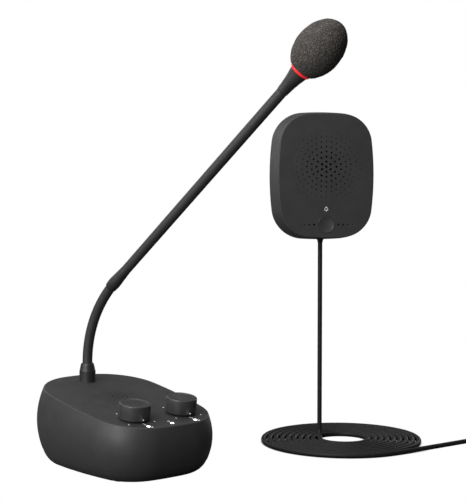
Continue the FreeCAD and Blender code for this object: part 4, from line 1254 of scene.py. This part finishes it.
@dataclass
class Microphone(SubAssembly):
    """Sleeve, stem, head, light ring and foam. Millimetres, with levels along the stem from its joint."""

    stem_end: float = 220.3
    head_top: float = 237.8
    ring_top: float = 240.6
    foam_middle: float = 259.3
    foam_radius: float = 17.65
    foam_lower: float = 23.6
    foam_upper: float = 25.15
    foam_skin: float = 0.35
    foam_lean: tuple = (-0.25, 0.4, 0.0)
    foam_cells: tuple = (("cell swell", "CLOUDS", 7.0, 0.5), ("cell walls", "VORONOI", 0.85, 0.42))
    stem_bore: float = 2.4
    ring_bore: float = 5.2

    def fit(self, piece: bpy.types.Object, slot: str, node: str) -> None:
        """Set a turned piece on the stem's line."""
        self.deliver(settle(piece, NECK.stem()), "stem", slot, (node,))

    def make_sleeve(self) -> None:
        """Make the flared sleeve that joins the neck to the stem."""
        outline = [(3.1, -1.45), (4.45, -1.45), (4.62, -1.25), (4.8, 0.9), (4.95, 2.6), (4.98, 3.6),
                   (4.95, 4.8), (4.75, 8.0), (4.45, 12.0), (4.2, 16.0), (4.0, 19.0), (3.93, 19.2),
                   (3.8, 19.2)]
        self.fit(turned("stem_joint_sleeve", outline, ROUND, 40.0), "stem_sleeve", "stem_sleeve")

    def make_stem(self) -> None:
        """Make the long tube, a little wider towards its top."""
        bore, end = self.stem_bore, self.stem_end
        outline = [(bore, 6.1), (3.9, 6.1), (3.95, 40.0), (4.05, 140.0), (4.15, end), (bore, end)]
        self.fit(turned("microphone_stem", outline, ROUND, 40.0), "stem_tube", "mic_stem")

    def make_head(self) -> None:
        """Make the flared head under the ring."""
        foot = self.stem_end - 2.5
        top = self.head_top
        bore = self.ring_bore
        outline = [(4.18, foot), (4.4, foot), (4.5, foot + 0.3), (4.62, foot + 2.0), (4.85, foot + 5.0),
                   (5.3, foot + 9.0), (5.92, foot + 13.0), (6.75, foot + 17.2), (7.2, top - 0.35),
                   (7.28, top - 0.1), (7.2, top), (bore, top), (bore, top - 2.0)]
        self.fit(turned("microphone_head", outline, ROUND, 34.0), "mic_head", "mic_head")

    def make_ring(self) -> None:
        """Make the red light ring."""
        low, high = self.head_top, self.ring_top
        bore = self.ring_bore
        outline = [(bore, low), (7.5, low)] + arc((7.75, low + 0.6), 0.6, -80, 0, 5)
        outline += arc((8.3, high - 0.55), 0.55, 0, 80, 5) + [(7.2, high), (bore, high)]
        self.fit(turned("microphone_light_ring", outline, LARGE_ROUND, 50.0), "red_ring", "light_ring")

    def make_foam(self) -> None:
        """Make the egg-shaped foam: a ball drawn long, cut at the ring and roughened by its cells."""
        clear_selection()
        bpy.ops.mesh.primitive_ico_sphere_add(subdivisions=7, radius=1.0)
        foam = named("foam_cover")
        depth = self.foam_middle - self.ring_top
        across = (self.foam_radius - self.foam_skin) * MM
        with Editing(foam) as bench:
            bpy.ops.transform.resize(value=(across, across, 1))
            for side, reach in ((1, self.foam_upper), (-1, self.foam_lower)):
                bench.pick("VERT", lambda vert: vert.co.z * side > 1e-6)
                height = (reach - self.foam_skin) * MM
                bpy.ops.transform.resize(value=(1, 1, height), center_override=(0, 0, 0))
            bpy.ops.mesh.select_all(action="SELECT")
            bpy.ops.mesh.bisect(plane_co=(0, 0, -depth * MM), plane_no=(0, 0, 1),
                                clear_inner=True, use_fill=True)
            bpy.ops.mesh.inset(thickness=1.2 * MM)
            bpy.ops.transform.translate(value=(0, 0, 1.5 * MM))
            bench.outward()
        for name, kind, size, strength in self.foam_cells:
            texture = bpy.data.textures.new(name, kind)
            texture.noise_scale = size * MM
            apply_modifier(foam, "DISPLACE", texture=texture, strength=strength * MM, mid_level=0.5)
        smooth(foam, 180.0)
        place = NECK.stem(self.foam_middle) @ Matrix.Translation(Vector(self.foam_lean) * MM)
        self.deliver(settle(foam, place), "stem", "foam", ("foam_windscreen",))

    def make(self) -> None:
        """Make everything that the last joint carries."""
        self.make_sleeve()
        self.make_stem()
        self.make_head()
        self.make_ring()
        self.make_foam()
        self.report()


@dataclass
class WindowUnit(SubAssembly):
    """Button, bell sign, adhesive pad and screws of the window unit. Millimetres."""

    button_level: float = -41.85
    button_radius: float = 7.3
    button_top: float = 7.4
    button_round: float = 0.3
    flange_radius: float = 8.6
    flange_foot: float = 3.7
    flange_top: float = 4.9
    bowl_radius: float = 24.0
    bowl_depth: float = 1.1
    bowl_rings: int = 9
    bell_level: float = -28.3
    bell_height: float = 4.0
    bell_width: float = 2.7
    bell_flare: float = 1.25
    bell_line: float = 0.3
    ink_root: float = 0.02
    ink_depth: float = 0.05
    back: float = 33.5
    pad_size: tuple = (40.0, 64.0, 1.5)
    pad_corner: float = 2.5
    boss_offset: float = 28.0
    boss_level: float = 39.5
    screw_sink: float = 1.75

    def make_button(self) -> None:
        """Make the call button with its dished face and collar."""
        rim, top, lip = self.button_radius, self.button_top, self.button_round
        wide, foot, shelf = self.flange_radius, self.flange_foot, self.flange_top
        ball, deep, rings = self.bowl_radius, self.bowl_depth, self.bowl_rings
        outline = [(0.4, 0.0), (2.0, 0.0), (2.0, foot), (wide, foot), (wide, shelf), (rim, shelf),
                   (rim, top - 0.35)]
        outline += arc((rim - lip, top - lip), lip, 10, 110, 5)
        edge = math.sqrt(2 * ball * deep - deep ** 2) - 0.15
        for reach in [share * edge / rings for share in range(rings, 0, -1)]:
            if reach < rim - 0.55:
                outline.append((reach, top - deep + ball - math.sqrt(ball ** 2 - reach ** 2)))
        outline.append((0.3, top - deep))
        button = turned("call_button_cap", outline, LARGE_ROUND, 24.0)
        place = WINDOW.at(0, top, self.button_level)
        self.deliver(settle(button, place), "call_button", "button", ("call_button",))

    def make_bell(self) -> None:
        """Print an outlined bell above the button: a rounded body, a flared foot and a clapper."""
        clear_selection()
        bpy.ops.mesh.primitive_circle_add(vertices=32, radius=0.5 * MM, fill_type="NGON")
        bell = named("call_sign")
        half = self.bell_height / 2
        with Editing(bell) as bench:
            bpy.ops.transform.resize(value=(self.bell_width, self.bell_width, 1))
            bench.pick("VERT", lambda vert: vert.co.y < -1e-6)
            bpy.ops.transform.resize(value=(self.bell_flare, 0.25, 1), center_override=(0, 0, 0))
            bpy.ops.transform.translate(value=(0, -0.45 * half * MM, 0))
            bpy.ops.mesh.select_all(action="SELECT")
            bpy.ops.mesh.inset(thickness=self.bell_line * MM)
            bpy.ops.mesh.delete(type="ONLY_FACE")
            bpy.ops.mesh.select_all(action="SELECT")
            bpy.ops.mesh.extrude_region_move(TRANSFORM_OT_translate={"value": (0, 0, self.ink_depth * MM)})
            bench.outward()
        place = WINDOW.at(0, self.ink_root, self.bell_level)
        self.deliver(settle(bell, place), "base", "window_shell", paint=Paint.MARK)
        for name, y, width in (("knob", half * 0.8, 0.5), ("clapper", -half * 0.86, 1.0)):
            bar = slab(f"call_sign_{name}", width, 0.42, self.ink_depth, 0.16)
            place = WINDOW.at(0, self.ink_root, self.bell_level + y)
            self.deliver(settle(bar, place), "base", "window_shell", paint=Paint.MARK)

    def make_pad(self) -> None:
        """Make the foam tape pad that holds the unit to the glass."""
        pad = slab("glass_pad", *self.pad_size, self.pad_corner)
        apply_modifier(pad, "BEVEL", width=0.25 * MM, segments=2, limit_method="ANGLE",
                       angle_limit=math.radians(35), harden_normals=False)
        smooth(pad)
        self.deliver(settle(pad, WINDOW.at(0, self.back, 0, False)), "base", "pad", ("mounting_pad",))

    def make(self) -> None:
        """Make what is on the front and back of the window unit."""
        self.make_button()
        self.make_bell()
        self.make_pad()
        screw = CrossScrew(head_radius=2.8, head_height=1.6, shank_radius=1.2, shank_length=11.0)
        depth = self.back - self.screw_sink
        places = [WINDOW.at(self.boss_offset * x, depth, self.boss_level * z, False)
                  for z in (-1, 1) for x in (-1, 1)]
        self.deliver_copies(screw.make("window_screw_pattern"), "window_screw", places, "screw",
                            ("window_case_screws",))
        self.report()


@dataclass(frozen=True)
class CrossScrew:
    """A pan-head screw with a cross recess; its head stands on Z = 0. Millimetres."""

    head_radius: float
    head_height: float
    shank_radius: float
    shank_length: float

    def make(self, name: str) -> bpy.types.Object:
        """Make the screw: shank, domed head and the recess cut by two wedges.

        Args:
            name: Its name.

        Returns:
            The screw, standing at the origin.
        """
        top = self.head_height
        wide = self.head_radius
        outline = [(0.2, -self.shank_length), (self.shank_radius, 1.0 - self.shank_length),
                   (self.shank_radius, 0.0), (wide, 0.0), (wide, top * 0.35), (wide * 0.9, top * 0.72),
                   (wide * 0.66, top * 0.94), (wide * 0.3, top)]
        screw = turned(name, outline, 40, 34.0)
        for width, length in ((0.24, 1.15), (1.15, 0.24)):
            clear_selection()
            bpy.ops.mesh.primitive_cube_add(size=MM)
            wedge = named("wedge")
            with Editing(wedge) as bench:
                bpy.ops.transform.resize(value=(wide * width, wide * length, top * 1.4))
                bpy.ops.transform.translate(value=(0, 0, top * MM))
                bench.pick("VERT", lambda vert: vert.co.z < top * MM)
                bpy.ops.transform.resize(value=(0.7, 0.7, 1), center_override=(0, 0, 0))
            apply_modifier(screw, "BOOLEAN", object=wedge, operation="DIFFERENCE", solver="EXACT")
            bpy.data.objects.remove(wedge)
        smooth(screw, 30.0)
        return screw


@dataclass
class DeskUnit(SubAssembly):
    """Screws and feet of the desk unit. Millimetres."""

    column_offset: float = 34.0
    column_front: float = 24.0
    column_back: float = 28.0
    screw_level: float = 5.6
    foot_radius: float = 4.5
    foot_height: float = 1.8
    foot_round: float = 0.5
    foot_offset: float = 27.0
    foot_reach: float = 40.0

    @staticmethod
    def corners(offset: float, front: float, back: float, level: float) -> list[Matrix]:
        """Find four places under the base.

        Args:
            offset: Distance of each from the middle line.
            front: Distance of two of them before the middle.
            back: Distance of the other two behind it.
            level: Height above the counter.

        Returns:
            Their upright places, front left first.
        """
        return [Matrix.Translation(Vector((offset * side, reach, level)) * MM)
                for reach in (-front, back) for side in (-1, 1)]

    def make_screws(self) -> None:
        """Make the four case screws, heads down in their wells."""
        screw = CrossScrew(head_radius=3.0, head_height=1.9, shank_radius=1.25, shank_length=18.0)
        head_down = Matrix.Rotation(math.pi, 4, "X")
        wells = self.corners(self.column_offset, self.column_front, self.column_back, self.screw_level)
        places = [well @ head_down for well in wells]
        self.deliver_copies(screw.make("desk_screw_pattern"), "desk_screw", places, "screw",
                            ("desk_case_screws",))

    def make_feet(self) -> None:
        """Make the four rubber feet with a moulded ring underneath."""
        wide, high, lip = self.foot_radius, self.foot_height, self.foot_round
        outline = [(1.2, 0.25), (3.1, 0.25), (3.4, 0.0), (wide - 0.7, 0.0)]
        outline += arc((wide - lip, lip), lip, -80, 0, 5) + [(wide, high), (1.2, high)]
        places = self.corners(self.foot_offset, self.foot_reach, self.foot_reach, 0.0)
        foot = turned("foot_pattern", outline, SMALL_ROUND)
        self.deliver_copies(foot, "rubber_foot", places, "foot_rubber", ("desk_feet",))

    def make(self) -> None:
        """Make the fasteners and feet."""
        self.make_screws()
        self.make_feet()
        self.report()


# ---------------------------------------------------------------- studio


def hang(name: str, data: bpy.types.ID, place: Iterable[float], looks: Vector) -> bpy.types.Object:
    """Hang a light or a camera.

    Args:
        name: Its name.
        data: The light or camera.
        place: Where it hangs.
        looks: The direction that it faces.

    Returns:
        Its object.
    """
    holder = bpy.data.objects.new(name, data)
    holder.location = place
    holder.rotation_mode = "QUATERNION"
    holder.rotation_quaternion = looks.to_track_quat("-Z", "Y")
    bpy.context.scene.collection.objects.link(holder)
    return holder


@dataclass(frozen=True)
class SoftBox:
    """One large soft light. Metres and watts."""

    name: str
    place: tuple[float, float, float]
    size: float
    power: float
    height: float = 0.0

    def make(self, target: Vector) -> None:
        """Hang the light.

        Args:
            target: The point that it faces.
        """
        light = bpy.data.lights.new(self.name, "AREA")
        light.shape = "RECTANGLE" if self.height else "SQUARE"
        light.size = self.size
        light.size_y = self.height or self.size
        light.energy = self.power
        hang(self.name, light, self.place, target - Vector(self.place))


@dataclass(frozen=True)
class Studio:
    """Camera, pale floor, soft lights and surroundings. Metres."""

    lens: float = 93.6
    camera_place: tuple = (-0.5771, -0.8400, 0.2223)
    camera_looks: tuple = (0.6357, 0.7703, -0.0504)
    floor_size: float = 12.0
    target: tuple = (0.08, -0.02, 0.12)
    coil_middle: tuple = (0.2068, -0.0391, 0.0)
    floor_grey: float = 0.09
    # reach and outer limit of the painted shadow under the coil
    painted_shadow_reach: float = 0.009
    painted_shadow_limit: tuple = (0.072, 0.08)
    surroundings: float = 0.089

    def lights(self) -> list[SoftBox]:
        """List the soft boxes.

        Returns:
            The studio's lights.
        """
        return [
            SoftBox("key", (-1.04, -0.47, 0.85), 0.7, 24.0, 1.7),
            SoftBox("left", (-1.14, 0.3, 0.78), 0.7, 8.5, 1.4),
            SoftBox("top", (0.13, 0.24, 1.6), 1.2, 8.5),
            SoftBox("back", (0.04, 1.16, 0.67), 0.5, 2.5, 0.9),
            SoftBox("right", (1.37, 0.45, 0.4), 0.7, 2.2, 1.0),
        ]

    def make_camera(self) -> None:
        """Set up the camera."""
        camera = bpy.data.cameras.new("camera")
        camera.lens = self.lens
        camera.sensor_width = 36.0
        camera.clip_start = 0.01
        bpy.context.scene.camera = hang("camera", camera, self.camera_place, Vector(self.camera_looks))

    def make_floor(self) -> None:
        """Lay the pale floor, bright to the camera and dimmer as a source of bounced light, with a painted shadow
        between the coil's turns.
        """
        clear_selection()
        bpy.ops.mesh.primitive_plane_add(size=self.floor_size)
        floor = named("floor")
        material = bpy.data.materials.new("pale floor")
        tree = fresh_tree(material)
        seen = tree.add("ShaderNodeLightPath").outputs["Is Camera Ray"]
        grey = (*(self.floor_grey,) * 3, 1)
        dim = tree.add("ShaderNodeBsdfDiffuse", {"Color": grey}).outputs["BSDF"]
        # Painted shadow: near the coil the floor darkens to the camera where occlusion finds the cord close by;
        # further out it glows evenly.
        near = {"Distance": self.painted_shadow_reach}
        openness = tree.add("ShaderNodeAmbientOcclusion", near, samples=24).outputs["AO"]
        painted_shade = tree.span(openness, 0.25, 0.7)
        spot = tree.add("ShaderNodeTexCoord").outputs["Object"]
        reach = tree.vectors("DISTANCE", spot, self.coil_middle, "Value")
        glow = tree.maths("MAXIMUM", painted_shade, tree.span(reach, *self.painted_shadow_limit))
        bright = tree.add("ShaderNodeEmission", {"Strength": glow}).outputs["Emission"]
        shader = tree.add("ShaderNodeMixShader", {0: seen, 1: dim, 2: bright}).outputs["Shader"]
        tree.add("ShaderNodeOutputMaterial", {"Surface": shader})
        floor.data.materials.append(material)

    def make_surroundings(self) -> None:
        """Wrap the scene in white for the camera and in a soft grey for the light."""
        world = bpy.data.worlds.new("surroundings")
        tree = fresh_tree(world)
        seen = tree.add("ShaderNodeLightPath").outputs["Is Camera Ray"]
        colour = tree.mix(seen, (*(self.surroundings,) * 3, 1), (1, 1, 1, 1))
        sky = tree.add("ShaderNodeBackground", {"Color": colour}).outputs["Background"]
        tree.add("ShaderNodeOutputWorld", {"Surface": sky})
        bpy.context.scene.world = world

    def make(self) -> None:
        """Build the studio round the part."""
        self.make_floor()
        self.make_surroundings()
        for light in self.lights():
            light.make(Vector(self.target))
        bpy.context.scene.view_settings.view_transform = "Standard"
        log.info("studio: %d lights", len(self.lights()))


def main() -> None:
    """Build the looks in order."""
    logging.basicConfig(level=logging.INFO, format="%(name)s: %(message)s")
    studio = Studio()
    studio.make_camera()
    shop = PaintShop()
    shop.dress_nodes()
    for assembly in (Lead, Knobs, Neck, Microphone, WindowUnit, DeskUnit):
        assembly(shop).make()
    studio.make()
    clear_selection()


if __name__ == "__main__":
    main()
